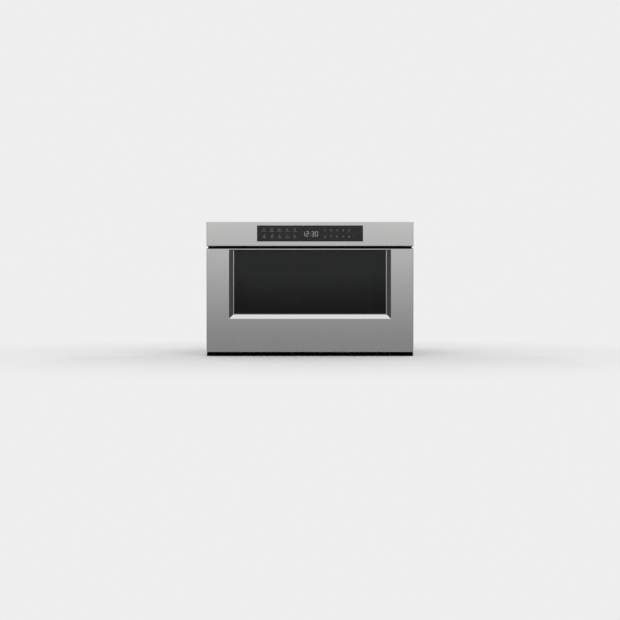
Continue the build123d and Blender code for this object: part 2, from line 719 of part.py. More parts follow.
def magnetron():
    """Yoke open to the air stream, finned anode, filter box with its connector, and the output dome."""
    x = (GUIDE_END, GUIDE_END + YOKE_LENGTH)
    y = span(MAGNETRON_HALF_WIDTH)
    z = around(MAGNETRON_Z, MAGNETRON_HALF_HEIGHT)
    yoke = block(x, y, z) - block(grown(x, -YOKE_SHEET), y, grown(z, -YOKE_SHEET))
    ring = Pos(0, MAGNETRON_Z) * RegularPolygon(ANODE_RADIUS, ANODE_SIDES)
    anode = extrude(Plane.YZ.offset(x[0]) * ring, YOKE_LENGTH)
    fins = []
    for place in row(FIN_COUNT, YOKE_LENGTH / (FIN_COUNT + 1), (x[0] + x[1]) / 2):
        fins.append(block(around(place, FIN_SHEET / 2), grown(y, -FIN_SHEET), grown(z, -YOKE_SHEET)))
    filter_x = (x[1], x[1] + FILTER_BOX_LENGTH)
    filter_box = block(filter_x, grown(y, -FILTER_BOX_INSET), grown(z, -FILTER_BOX_INSET))
    plug_y = (y[1] - FILTER_BOX_INSET, y[1] - FILTER_BOX_INSET + CONNECTOR_SIZE)
    plug_x = around((filter_x[0] + filter_x[1]) / 2, CONNECTOR_SIZE / 2)
    connector = block(plug_x, plug_y, around(MAGNETRON_Z, CONNECTOR_SIZE))
    dome = rod_x((GUIDE_END - DOME_REACH, GUIDE_END), 0, MAGNETRON_Z, DOME_RADIUS)
    return joined([yoke, anode, filter_box, connector, dome] + fins)


def antenna_motor():
    """Flat motor under the waveguide, with the bore that takes the antenna's shaft."""
    z = (GUIDE_BOTTOM - ANTENNA_MOTOR_HEIGHT, GUIDE_BOTTOM)
    body = rod_z(0, 0, z, ANTENNA_MOTOR_RADIUS)
    ear_y = span(ANTENNA_MOTOR_RADIUS + 2 * STANDOFF_RADIUS)
    ears = block(span(2 * STANDOFF_RADIUS), ear_y, (z[1] - BASE_SHEET, z[1]))
    terminal_x = (0, ANTENNA_MOTOR_RADIUS + CONNECTOR_SIZE)
    terminal = block(terminal_x, span(CONNECTOR_SIZE / 2), grown(z, -STANDOFF_RADIUS))
    bore_z = (GUIDE_BOTTOM - ANTENNA_SHAFT_SEAT - SLIP, GUIDE_BOTTOM)
    bore = rod_z(0, 0, bore_z, ANTENNA_SHAFT_RADIUS + RUNNING)
    return body + ears + terminal - bore


def rotating_antenna():
    """Slotted fan-shaped blade on a hub, with the shaft that runs down through the waveguide."""
    sector = Pos(ANTENNA_RADIUS / 2, 0) * Rectangle(2 * ANTENNA_RADIUS, ANTENNA_RADIUS)
    outline = Circle(ANTENNA_RADIUS) & sector
    tail = Pos(-ANTENNA_RADIUS / 2, 0) * Rectangle(ANTENNA_RADIUS, ANTENNA_HUB_RADIUS * 2)
    outline = outline + (tail & Circle(ANTENNA_RADIUS))
    for y in row(2, ANTENNA_RADIUS / 2):
        slot = Rectangle(ANTENNA_RADIUS / 2, ANTENNA_HUB_RADIUS)
        outline = outline - Pos(ANTENNA_RADIUS / 2, y) * slot
    blade = extrude(Pos(0, 0, ANTENNA_Z) * outline, ANTENNA_SHEET)
    hub = rod_z(0, 0, (ANTENNA_Z, ANTENNA_Z + ANTENNA_HUB_HEIGHT), ANTENNA_HUB_RADIUS)
    shaft = rod_z(0, 0, (GUIDE_BOTTOM - ANTENNA_SHAFT_SEAT, ANTENNA_Z), ANTENNA_SHAFT_RADIUS)
    return blade + hub + shaft


# ---- Power supply ----------------------------------------------------------------------------
def transformer_core():
    """Stacked E and I laminations on a mounting foot."""
    z = (BASE_SHEET + BRACKET_SHEET, BASE_SHEET + BRACKET_SHEET + CORE_HEIGHT)
    middle = (z[0] + z[1]) / 2
    outline = Pos(TRANSFORMER_X, middle) * Rectangle(CORE_WIDTH, CORE_HEIGHT)
    for x in row(2, CORE_LEG + CORE_WINDOW_WIDTH, TRANSFORMER_X):
        outline = outline - Pos(x, middle) * Rectangle(CORE_WINDOW_WIDTH, CORE_WINDOW_HEIGHT)
    stack = extrude(facing(TRANSFORMER_Y + CORE_STACK / 2) * outline, CORE_STACK)
    foot_y = around(TRANSFORMER_Y, CORE_STACK / 2 + WINDING_REACH)
    foot = block(around(TRANSFORMER_X, CORE_WIDTH / 2), foot_y, (BASE_SHEET, z[0]))
    return stack + foot


def transformer_windings():
    """Primary and secondary coils, side by side round the middle leg."""
    bottom = BASE_SHEET + BRACKET_SHEET + (CORE_HEIGHT - CORE_WINDOW_HEIGHT) / 2 + SLIP
    usable = CORE_WINDOW_HEIGHT - 2 * SLIP - WINDING_GAP
    hole = Rectangle(CORE_LEG + 2 * SLIP, CORE_STACK + 2 * SLIP)
    reach = CORE_WINDOW_WIDTH - SLIP
    outline = notched(CORE_LEG + 2 * reach, CORE_STACK + 2 * WINDING_REACH, WINDING_REACH / 2) - hole
    primary_height = usable * PRIMARY_SHARE
    place = Pos(TRANSFORMER_X, TRANSFORMER_Y, bottom)
    primary = extrude(place * outline, primary_height)
    above = Pos(0, 0, primary_height + WINDING_GAP)
    secondary = extrude(above * place * outline, usable - primary_height)
    return primary, secondary


def high_voltage_capacitor():
    """Oval can lying on the base under its strap, with two terminal blades."""
    y = (CAPACITOR_START, CAPACITOR_START + CAPACITOR_LENGTH)
    middle_z = BASE_SHEET + CAPACITOR_HEIGHT / 2
    outline = Pos(CAPACITOR_X, middle_z) * SlotOverall(CAPACITOR_WIDTH, CAPACITOR_HEIGHT)
    can = extrude(facing(y[1]) * outline, y[1] - y[0])
    strap_outline = Pos(CAPACITOR_X, middle_z) * notched(
        CAPACITOR_WIDTH + 2 * CASE_SHEET, CAPACITOR_HEIGHT + 2 * CASE_SHEET, CAPACITOR_HEIGHT / 4)
    strap = extrude(facing((y[0] + y[1]) / 2 + CONNECTOR_SIZE / 2) * strap_outline, CONNECTOR_SIZE)
    above_base = block(around(CAPACITOR_X, CAPACITOR_WIDTH), y, (BASE_SHEET, CAPACITOR_HEIGHT * 2))
    lug_x = around(CAPACITOR_X, CAPACITOR_WIDTH / 2 + CONNECTOR_SIZE)
    lug_y = around((y[0] + y[1]) / 2, CONNECTOR_SIZE / 2)
    lugs = block(lug_x, lug_y, (BASE_SHEET, BASE_SHEET + CASE_SHEET))
    post_y = (y[1], y[1] + CONNECTOR_SIZE)
    posts = []
    for x in row(2, CAPACITOR_WIDTH / 2, CAPACITOR_X):
        posts.append(block(around(x, STANDOFF_RADIUS), post_y, around(middle_z, CASE_SHEET)))
    return joined([can, strap & above_base, lugs] + posts)


def noise_filter():
    """Board on four standoffs with a choke coil, two capacitors and a fuse holder."""
    top = BASE_SHEET + STANDOFF_HEIGHT + BOARD_SHEET
    board = block(FILTER_BOARD_X, FILTER_BOARD_Y, (top - BOARD_SHEET, top))
    middle_x = sum(FILTER_BOARD_X) / 2
    middle_y = sum(FILTER_BOARD_Y) / 2
    reach_x = FILTER_BOARD_X[1] - FILTER_BOARD_X[0] - 4 * STANDOFF_RADIUS
    reach_y = FILTER_BOARD_Y[1] - FILTER_BOARD_Y[0] - 4 * STANDOFF_RADIUS
    pieces = [board]
    for x in row(2, reach_x, middle_x):
        for y in row(2, reach_y, middle_y):
            stand_y = around(y, STANDOFF_RADIUS)
            pieces.append(block(around(x, STANDOFF_RADIUS), stand_y, (BASE_SHEET, top)))
    pieces.append(rod_z(middle_x, middle_y, (top, top + COIL_HEIGHT), COIL_RADIUS))
    for x in row(2, FILTER_CAP_PITCH, middle_x):
        cap_y = around(middle_y - reach_y / 4, FILTER_CAP_LENGTH / 2)
        pieces.append(block(around(x, FILTER_CAP_WIDTH / 2), cap_y, (top, top + FILTER_CAP_HEIGHT)))
    fuse_y = middle_y + reach_y / 2 - FUSE_WIDTH / 2
    fuse_x = around(middle_x, FUSE_LENGTH / 2)
    pieces.append(block(fuse_x, around(fuse_y, FUSE_WIDTH / 2), (top, top + FUSE_WIDTH)))
    return joined(pieces)


def cord_gland():
    """Gland in the back cover: many-sided nose outside, body through the hole and a nut inside."""
    outer = REAR_FACE + GLAND_REACH
    inner = outer - GLAND_LENGTH
    place = Pos(GLAND_X, GLAND_Z)
    nose = extrude(facing(outer) * place * RegularPolygon(GLAND_NOSE, GLAND_NOSE_SIDES), GLAND_REACH)
    body = rod_y(GLAND_X, (REAR_INSIDE, REAR_FACE), GLAND_Z, GLAND_BODY)
    nut_length = REAR_INSIDE - inner
    nut = extrude(facing(REAR_INSIDE) * place * RegularPolygon(GLAND_NOSE, GLAND_NUT_SIDES), nut_length)
    return joined([nut, body, nose]) - rod_y(GLAND_X, (inner, outer), GLAND_Z, GLAND_BORE)


# ---- Cooling ---------------------------------------------------------------------------------
def fan_shroud():
    """Upright plate with the fan's ring, and the bar on two struts that carries the motor."""
    y = (FAN_PLATE_Y, FAN_PLATE_Y + FAN_SHEET)
    ring_inside = FAN_RADIUS + FAN_TIP_GAP
    ring_y = (y[0], y[1] + FAN_RING_DEPTH)
    bar_y = (y[1] + FAN_MOTOR_GAP, y[1] + FAN_MOTOR_GAP + FAN_SHEET)
    strut_pitch = 2 * (ring_inside + FAN_SHEET + FAN_STRUT_RADIUS)
    plate = block(around(FAN_X, FAN_PLATE_HALF_WIDTH), y, (BASE_SHEET, FAN_PLATE_TOP))
    foot_y = (y[0], y[0] + BASE_FLANGE)
    foot = block(around(FAN_X, FAN_PLATE_HALF_WIDTH), foot_y, (BASE_SHEET, BASE_SHEET + FAN_SHEET))
    ring = rod_y(FAN_X, ring_y, FAN_Z, ring_inside + FAN_SHEET)
    bar_x = around(FAN_X, strut_pitch / 2 + FAN_STRUT_RADIUS)
    bar = block(bar_x, bar_y, around(FAN_Z, FAN_BAR_HALF_HEIGHT))
    strut_y = (y[1], bar_y[0])
    struts = []
    for x in row(2, strut_pitch, FAN_X):
        struts.append(block(around(x, FAN_STRUT_RADIUS), strut_y, around(FAN_Z, FAN_BAR_HALF_HEIGHT)))
    cuts = [
        rod_y(FAN_X, ring_y, FAN_Z, ring_inside),
        block(around(FAN_X, FAN_SHAFT_RADIUS * 2), bar_y, around(FAN_Z, FAN_SHAFT_RADIUS * 2)),
    ]
    return without(joined([plate, foot, ring, bar] + struts), cuts)


def fan_motor():
    """Shaded-pole motor behind the bar: laminated frame and coil."""
    front = FAN_PLATE_Y + 2 * FAN_SHEET + FAN_MOTOR_GAP
    y = (front, front + FAN_MOTOR_DEPTH)
    half = FAN_MOTOR_SIZE / 2
    frame = block(around(FAN_X, half), y, around(FAN_Z, half))
    coil_z = (FAN_Z - FAN_COIL_LOW, FAN_Z - FAN_COIL_HIGH)
    window = block(around(FAN_X, FAN_WINDOW_HALF), y, coil_z)
    coil = block(around(FAN_X, FAN_COIL_HALF), grown(y, -FAN_SHEET), coil_z)
    bore = rod_y(FAN_X, (y[0], y[1] - FAN_SHEET), FAN_Z, FAN_SHAFT_RADIUS + RUNNING)
    return frame - window + coil - bore


def fan_blade():
    """Hub with pitched blades, and the shaft that runs back into the motor."""
    hub_front = FAN_PLATE_Y + FAN_SHEET + FAN_TIP_GAP
    hub_y = (hub_front, hub_front + FAN_HUB_LENGTH)
    middle = (hub_y[0] + hub_y[1]) / 2
    hub = rod_y(0, hub_y, 0, FAN_HUB_RADIUS)
    root = FAN_HUB_RADIUS * cos(radians(FAN_PITCH))
    tip = sqrt(FAN_RADIUS**2 - (FAN_CHORD / 2) ** 2)
    outline = make_face(Polyline(
        (root, -FAN_ROOT_CHORD / 2), (tip, -FAN_CHORD / 2),
        (tip, FAN_CHORD / 2), (root, FAN_ROOT_CHORD / 2), close=True))
    flat = extrude(outline, FAN_BLADE_SHEET / 2, both=True)
    blade = Pos(0, middle, 0) * Rot(90 - FAN_PITCH, 0, 0) * flat
    blades = [Rot(0, 360 * index / FAN_BLADES, 0) * blade for index in range(FAN_BLADES)]
    motor_front = FAN_PLATE_Y + 2 * FAN_SHEET + FAN_MOTOR_GAP
    shaft = rod_y(0, (hub_y[1], motor_front + FAN_SHAFT_SEAT), 0, FAN_SHAFT_RADIUS)
    return Pos(FAN_X, 0, FAN_Z) * joined([hub, shaft] + blades)


def exhaust_duct():
    """Tapered duct from the magnetron's fins to the vents under the drawer."""
    y = (FRAME_BACK + BASE_SHEET, -MAGNETRON_HALF_WIDTH - DUCT_GAP)
    back = ((GUIDE_END + DUCT_GAP, GUIDE_END + YOKE_LENGTH), around(MAGNETRON_Z, MAGNETRON_HALF_HEIGHT))
    front = (DUCT_X, (DUCT_LOW, DUCT_HIGH))
    outside = frustum(front, back, y)
    inner_front = (grown(front[0], -DUCT_WALL), grown(front[1], -DUCT_WALL))
    inner_back = (grown(back[0], -DUCT_WALL), grown(back[1], -DUCT_WALL))
    return outside - frustum(inner_front, inner_back, y)


# ---- Lamp and cut-outs -----------------------------------------------------------------------
def lamp_holder():
    """Square reflector box on the cavity's back, with the socket in its rear wall."""
    y = (CAVITY_BACK + CAVITY_SHEET, CAVITY_BACK + CAVITY_SHEET + LAMP_BOX_DEPTH)
    box = block(around(LAMP_X, LAMP_BOX), y, around(LAMP_Z, LAMP_BOX))
    hollow_y = (y[0], y[1] - DOOR_SHEET)
    hollow = block(around(LAMP_X, LAMP_BOX - DOOR_SHEET), hollow_y, around(LAMP_Z, LAMP_BOX - DOOR_SHEET))
    socket_y = (y[1], y[1] + LAMP_SOCKET_LENGTH)
    socket = rod_y(LAMP_X, socket_y, LAMP_Z, LAMP_SOCKET_RADIUS)
    return box - hollow + socket


def oven_lamp():
    """Tubular bulb that stands on the reflector box's rear wall, in front of the socket."""
    back = CAVITY_BACK + CAVITY_SHEET + LAMP_BOX_DEPTH - DOOR_SHEET
    return rod_y(LAMP_X, (back - BULB_LENGTH, back), LAMP_Z, BULB_RADIUS)


def thermal_cutouts():
    """Two round thermostats screwed flat on the cavity's roof."""
    discs = []
    z = CAVITY_CEILING + CAVITY_SHEET
    for x in row(2, 2 * CUTOUT_X):
        plate_y = around(CUTOUT_Y, CUTOUT_PLATE_WIDTH / 2)
        plate = block(around(x, CUTOUT_PLATE_LENGTH / 2), plate_y, (z, z + BASE_SHEET))
        discs.append(plate + rod_z(x, CUTOUT_Y, (z, z + CUTOUT_HEIGHT), CUTOUT_RADIUS))
    return discs


# ---- Control panel ---------------------------------------------------------------------------
def shell_front(z, depth, edge, opening):
    """Folded front skin: face, four returns of the given depth and rounded front edges."""
    x = span(HALF_FACE)
    outside = block(x, (FRONT, FRONT + depth), z)
    outside = fillet(outside.faces().sort_by(Axis.Y)[0].edges(), edge)
    hollow = block(grown(x, -SKIN), (FRONT + SKIN, FRONT + depth), grown(z, -SKIN))
    return outside - hollow - opening


def control_fascia():
    """Stainless fascia above the drawer, with the opening for the touch glass."""
    x = span(CONTROL_WIDTH / 2 + SLIP)
    opening = block(x, (FRONT, FRONT + SKIN), grown((CONTROL_BOTTOM, CONTROL_TOP), SLIP))
    return shell_front((FASCIA_BOTTOM, FACE_HEIGHT), FRAME_FRONT - FRONT, FASCIA_EDGE, opening)


def control_glass():
    """Touch glass, flush with the fascia."""
    return block(span(CONTROL_WIDTH / 2), (FRONT, FRONT + CONTROL_GLASS), (CONTROL_BOTTOM, CONTROL_TOP))


def control_housing():
    """Tray behind the glass: pocket, ledge, board ribs and the bosses that reach the front frame."""
    x = span(CONTROL_WIDTH / 2 + HOUSING_WALL)
    z = grown((CONTROL_BOTTOM, CONTROL_TOP), HOUSING_WALL - SLIP)
    back = FRONT + SKIN + HOUSING_DEPTH
    tray = block(x, (FRONT + SKIN, back), z)
    ledge = FRONT + CONTROL_GLASS
    pocket_z = grown((CONTROL_BOTTOM, CONTROL_TOP), SLIP)
    well_z = grown((CONTROL_BOTTOM, CONTROL_TOP), -CONTROL_LEDGE)
    well_x = span(CONTROL_WIDTH / 2 - CONTROL_LEDGE)
    pocket = block(span(CONTROL_WIDTH / 2 + SLIP), (FRONT + SKIN, ledge), pocket_z)
    well = block(well_x, (ledge, back - HOUSING_BACK), well_z)
    pieces = [tray - pocket - well]
    middle_z = (z[0] + z[1]) / 2
    for column in row(2, BOSS_SPREAD):
        for rise in row(2, z[1] - z[0] - 2 * HOUSING_WALL):
            boss_x = around(column, HOUSING_WALL / 2)
            pieces.append(block(boss_x, (back, FRAME_FRONT), around(middle_z + rise, HOUSING_WALL / 2)))
    rib_y = (back - HOUSING_BACK - BOARD_STAND, back - HOUSING_BACK)
    for column in row(3, HOUSING_RIB_PITCH):
        pieces.append(block(around(column, HOUSING_BACK / 2), rib_y, well_z))
    return joined(pieces)


def board_face():
    """Depth of the control board's front face."""
    return FRONT + SKIN + HOUSING_DEPTH - HOUSING_BACK - BOARD_STAND - BOARD_SHEET


def control_board():
    """Circuit board on the housing's ribs, with a relay, a transformer block and a plug."""
    y = (board_face(), board_face() + BOARD_SHEET)
    inset = CONTROL_LEDGE + SLIP
    board = block(span(CONTROL_WIDTH / 2 - inset), y, grown((CONTROL_BOTTOM, CONTROL_TOP), -inset))
    pieces = [board]
    middle_z = (CONTROL_BOTTOM + CONTROL_TOP) / 2
    part_y = (y[0] - BOARD_PART_DEPTH, y[0])
    for x in BOARD_PART_PLACES:
        part_z = around(middle_z, BOARD_PART_HEIGHT / 2)
        pieces.append(block(around(x, BOARD_PART_WIDTH / 2), part_y, part_z))
    return joined(pieces)


def display_module():
    """Display block between the board and the glass."""
    middle_z = (CONTROL_BOTTOM + CONTROL_TOP) / 2
    y = (FRONT + CONTROL_GLASS + SLIP, board_face())
    return block(span(DISPLAY_WIDTH / 2), y, around(middle_z, DISPLAY_HEIGHT / 2))


def vent_trim():
    """Black channel under the drawer, with a row of air slots in its front wall."""
    x = span(HALF_FACE)
    y = (FRONT + TRIM_RECESS, FRAME_FRONT)
    z = (TRIM_LIFT, TRIM_ZONE - TRIM_CLEAR)
    channel = block(x, y, z) - block(x, (y[0] + TRIM_WALL, y[1]), grown(z, -TRIM_WALL))
    slot_z = grown(z, -TRIM_SLOT_MARGIN)
    cuts = []
    for place in row(TRIM_SLOT_COUNT, TRIM_SLOT_PITCH):
        cuts.append(block(around(place, TRIM_SLOT_WIDTH / 2), (y[0], y[0] + TRIM_WALL), slot_z))
    return without(channel, cuts)


# ---- Drawer front ----------------------------------------------------------------------------
def front_panel():
    """Stainless drawer front with its window opening."""
    opening_y = (FRONT, FRONT + SKIN)
    opening = block(span(WINDOW_HALF_WIDTH), opening_y, (WINDOW_BOTTOM, WINDOW_TOP))
    return shell_front((DOOR_BOTTOM, DOOR_TOP), DOOR_RETURN, DOOR_EDGE, opening)


def bevel_opening(depth):
    """Size of the bezel's bevelled opening at a depth behind the front, taller than the window."""
    inward = BEVEL * depth / RECESS
    return (span(WINDOW_HALF_WIDTH - inward), (WINDOW_BOTTOM + inward, WINDOW_TOP + BEVEL))


def window_bezel():
    """Three-sided mitred bevel that steps down from the front to the glass, ending in a flat lip."""
    inner = frustum(bevel_opening(0), bevel_opening(RECESS), (FRONT, FRONT + RECESS))
    setback = BEZEL_SHEET * sqrt(BEVEL**2 + RECESS**2) / BEVEL
    behind_y = (FRONT + setback, GLASS_FRONT)
    behind = frustum(bevel_opening(0), bevel_opening(RECESS + BEZEL_SHEET - setback), behind_y)
    edge_x, edge_z = bevel_opening(0)
    edge = block(edge_x, (FRONT, FRONT + setback), edge_z)
    flange_y = (FRONT + SKIN, FRONT + SKIN + BEZEL_SHEET)
    flange = block(grown(edge_x, BEZEL_FLANGE), flange_y, grown(edge_z, BEZEL_FLANGE))
    flange = flange - block(edge_x, flange_y, edge_z)
    lip_x, lip_z = bevel_opening(RECESS)
    lip = block(lip_x, (FRONT + RECESS, GLASS_FRONT), lip_z)
    clear_x = grown(lip_x, -BEZEL_LIP)
    clear_z = (lip_z[0] + BEZEL_LIP + SLIP, lip_z[1])
    clear = block(clear_x, (FRONT, GLASS_FRONT), clear_z)
    above = block(span(HALF_FACE), (FRONT, GLASS_FRONT), (WINDOW_TOP, FACE_HEIGHT))
    return without(joined([edge, behind, flange]) - inner + lip, [clear, above])


def door_glass():
    """Dark glass behind the bezel's lip, held under the front's top margin."""
    x = span(WINDOW_HALF_WIDTH - BEVEL - BEZEL_LIP + GLASS_OVERLAP)
    z = (WINDOW_BOTTOM + BEVEL + BEZEL_LIP - GLASS_OVERLAP, WINDOW_TOP + GLASS_TOP_OVERLAP)
    return block(x, (GLASS_FRONT, GLASS_BACK), z)


def window_screen():
    """Shielding screen over the viewing opening, behind the frame's front plate."""
    x = span(VIEW_HALF_WIDTH + SCREEN_OVERLAP)
    z = grown((VIEW_BOTTOM, VIEW_TOP), SCREEN_OVERLAP)
    return block(x, (PLATE_BACK, PLATE_BACK + SCREEN_SHEET), z)


def inner_glass():
    """Glass on the tub's side of the door, bonded behind the seal plate."""
    x = span(VIEW_HALF_WIDTH)
    return block(x, (SEAL_FRONT - INNER_GLASS, SEAL_FRONT), (VIEW_BOTTOM, VIEW_TOP))


def choke_ring(inset, y):
    """Rectangular ring over the choke channel, inset from both of its walls."""
    outside = block(span(CHOKE_OUT_X - inset), y, grown(CHOKE_OUT_Z, -inset))
    return outside - block(span(CHOKE_IN_X + inset), y, grown(CHOKE_IN_Z, inset))


def door_frame():
    """Inner door: front plate, outer wall, choke channel and seal plate, folded from one sheet."""
    half = HALF_FACE - SKIN - SLIP
    z = grown((DOOR_BOTTOM, DOOR_TOP), -SKIN - SLIP)
    walls_y = (PLATE_BACK, SEAL_FRONT)
    box = block(span(half), (GLASS_BACK, DOOR_BACK), z)
    shell = box - block(span(half - DOOR_SHEET), walls_y, grown(z, -DOOR_SHEET))
    channel = choke_ring(-DOOR_SHEET, walls_y) - choke_ring(0, walls_y)
    view = block(span(VIEW_HALF_WIDTH), (GLASS_BACK, PLATE_BACK), (VIEW_BOTTOM, VIEW_TOP))
    inner_view_x = span(VIEW_HALF_WIDTH - INNER_VIEW_INSET)
    inner_view_z = grown((VIEW_BOTTOM, VIEW_TOP), -INNER_VIEW_INSET)
    inner_view = rounded(inner_view_x, (SEAL_FRONT, DOOR_BACK), inner_view_z, SCREEN_OVERLAP)
    return without(shell + channel, [view, inner_view, choke_ring(0, (SEAL_FRONT, DOOR_BACK))])


def choke_cover():
    """Plastic ring that closes the choke channel, with two lips that reach into it."""
    plate = choke_ring(SLIP, (DOOR_BACK - CHOKE_COVER, DOOR_BACK))
    lip_y = (DOOR_BACK - CHOKE_LIP_DEPTH, DOOR_BACK - CHOKE_COVER)
    return plate + (choke_ring(SLIP, lip_y) - choke_ring(SLIP + CHOKE_LIP, lip_y))


# ---- Tub -------------------------------------------------------------------------------------
def tub_plan(outset):
    """Plan of the tub: straight sides, open front and rounded back corners, outset from its inside."""
    half = TUB_HALF_WIDTH - TUB_SHEET + outset
    back = TUB_BACK - TUB_SHEET + outset
    radius = TUB_CORNER - TUB_SHEET + outset
    with BuildSketch() as plan:
        with BuildLine():
            FilletPolyline(
                (half, DOOR_BACK), (half, back), (-half, back), (-half, DOOR_BACK), radius=radius)
            Line((-half, DOOR_BACK), (half, DOOR_BACK))
        make_face()
    return plan.sketch


def tub_layer(outset, z):
    """Slab of the tub's plan between two heights."""
    return extrude(Pos(0, 0, z[0]) * tub_plan(outset), z[1] - z[0])


def tub_shell():
    """Pressed tub: walls with rounded back corners, rolled rim, tray ledge and front flange."""
    z = (TUB_BOTTOM, TUB_TOP)
    walls = tub_layer(TUB_SHEET, z) - tub_layer(0, (z[0] + TUB_SHEET, z[1]))
    rim = tub_layer(TUB_RIM, (z[1] - TUB_SHEET, z[1])) - tub_layer(0, (z[1] - TUB_SHEET, z[1]))
    floor_x = span(TUB_HALF_WIDTH - TUB_SHEET - TUB_LEDGE)
    floor_y = (DOOR_BACK + TUB_LEDGE, TUB_BACK - TUB_SHEET - TUB_LEDGE)
    floor_opening = block(floor_x, floor_y, (z[0], z[0] + TUB_SHEET))
    flange_y = (DOOR_BACK, DOOR_BACK + TUB_SHEET)
    flange_x = span(TUB_HALF_WIDTH - TUB_SHEET + TUB_FRONT_FLANGE)
    flange = block(flange_x, flange_y, (z[0], z[1]))
    flange_cut = block(span(TUB_HALF_WIDTH - TUB_SHEET), flange_y, (z[0] + TUB_SHEET, z[1]))
    return joined([walls - floor_opening, rim, flange - flange_cut])


def ceramic_tray():
    """Flat glass-ceramic floor that lies on the tub's ledge."""
    bottom = TUB_BOTTOM + TUB_SHEET
    slab = tub_layer(-SLIP, (bottom, bottom + TRAY_THICKNESS))
    front_y = (DOOR_BACK, DOOR_BACK + TUB_SHEET)
    return slab - block(span(HALF_CASE), front_y, (bottom, bottom + TRAY_THICKNESS))


# ---- Carriage arms, racks and slides (right hand) --------------------------------------------
def carriage_arm():
    """Side plate from the door to the rear, with a bent front flange and windows between two rails."""
    x = (ARM_INSIDE, ARM_FACE)
    y = (DOOR_BACK, RACK_Y[1] + ARM_TAIL)
    z = (RACK_ROOT_Z, ARM_TOP)
    plate = block(x, y, z)
    flange = block((ARM_INSIDE, ARM_FACE + ARM_FLANGE - SLIP), (y[0], y[0] + BRACKET_SHEET), z)
    window_z = (RACK_ROOT_Z + RACK_BACK + ARM_RAIL / 2, SLIDE_Z - SLIDE_SEAT - ARM_RAIL / 4)
    pitch = (y[1] - y[0]) / ARM_WINDOW_COUNT
    side = Plane(origin=(x[0], 0, 0), x_dir=(0, 1, 0), z_dir=(1, 0, 0))
    cuts = []
    for place in row(ARM_WINDOW_COUNT, pitch, (y[0] + y[1]) / 2):
        outline = notched(ARM_WINDOW_LENGTH, window_z[1] - window_z[0], WINDOW_CORNER)
        cuts.append(extrude(side * Pos(place, (window_z[0] + window_z[1]) / 2) * outline, BRACKET_SHEET))
    return without(plate + flange, cuts)


def rack():
    """Toothed rack along the arm's foot, with its teeth pointing down at the pinion."""
    pitch = pi * RACK_MODULE
    slope = tan(radians(PRESSURE_ANGLE))
    half = pitch / 4 - BACKLASH / 4
    tip_z = RACK_PITCH_Z - STUB_ADDENDUM * RACK_MODULE
    root_z = RACK_ROOT_Z
    half_tip = half - STUB_ADDENDUM * RACK_MODULE * slope
    half_root = half + DEDENDUM * RACK_MODULE * slope
    points = [(RACK_Y[0], root_z + RACK_BACK), (RACK_Y[0], root_z)]
    count = int((RACK_Y[1] - RACK_Y[0]) / pitch)
    first = -int(RACK_OVERRUN / pitch)
    for index in range(first, first + count):
        centre = SHAFT_Y + (index + 0.5) * pitch
        if RACK_Y[0] < centre - half_root and centre + half_root < RACK_Y[1]:
            points += [(centre - half_root, root_z), (centre - half_tip, tip_z)]
            points += [(centre + half_tip, tip_z), (centre + half_root, root_z)]
    points += [(RACK_Y[1], root_z), (RACK_Y[1], root_z + RACK_BACK)]
    outline = make_face(Polyline(*points, close=True))
    return extrude(Plane.YZ.offset(ARM_FACE) * outline, RACK_FACE)


def slide_profile(u, half_height, open_in):
    """C channel of the slide's sheet: u is measured from the bracket face towards the arm."""
    x = (BRACKET_FACE - u[1], BRACKET_FACE - u[0])
    z = around(SLIDE_Z, half_height)
    inner_x = (x[0], x[1] - SLIDE_SHEET) if open_in else (x[0] + SLIDE_SHEET, x[1])
    return block(x, SLIDE_Y, z) - block(inner_x, SLIDE_Y, grown(z, -SLIDE_SHEET))


def slide_outer():
    """Fixed member, a channel with turned-in lips, against the bracket."""
    channel = slide_profile((0, OUTER_DEPTH), OUTER_HALF_HEIGHT, True)
    lip_x = (BRACKET_FACE - OUTER_DEPTH, BRACKET_FACE - OUTER_DEPTH + SLIDE_SHEET)
    lips = block(lip_x, SLIDE_Y, around(SLIDE_Z, OUTER_HALF_HEIGHT))
    gap = block(lip_x, SLIDE_Y, around(SLIDE_Z, OUTER_HALF_HEIGHT - SLIDE_SHEET - OUTER_LIP))
    return channel + (lips - gap)


def slide_middle():
    """Middle member, which travels half as far as the drawer."""
    return slide_profile((SLIDE_SHEET + WEB_GAP, MIDDLE_DEPTH), MIDDLE_HALF_HEIGHT, True)


def slide_inner():
    """Inner member, screwed to the arm."""
    return slide_profile((INNER_REACH, SLIDE_WIDTH), INNER_HALF_HEIGHT, False)


def roller_cage(inner_half_height):
    """Two strips with rollers, above and below, in the race outside a member of the given half height."""
    race_middle = inner_half_height + RACE / 2
    u = BRACKET_FACE - SLIDE_WIDTH / 2
    y = (SLIDE_Y[0] + CAGE_START, SLIDE_Y[0] + CAGE_START + ROLLER_COUNT * ROLLER_PITCH)
    strips = []
    for side in (-1, 1):
        z = SLIDE_Z + side * race_middle
        pieces = [block(around(u, ROLLER_LENGTH / 2), y, around(z, CAGE_SHEET / 2))]
        for place in row(ROLLER_COUNT, ROLLER_PITCH, (y[0] + y[1]) / 2):
            roller = Pos(place, z) * RegularPolygon(ROLLER_RADIUS, ROLLER_SIDES)
            pieces.append(extrude(Plane.YZ.offset(u - ROLLER_LENGTH / 2) * roller, ROLLER_LENGTH))
        strips.append(joined(pieces))
    return strips


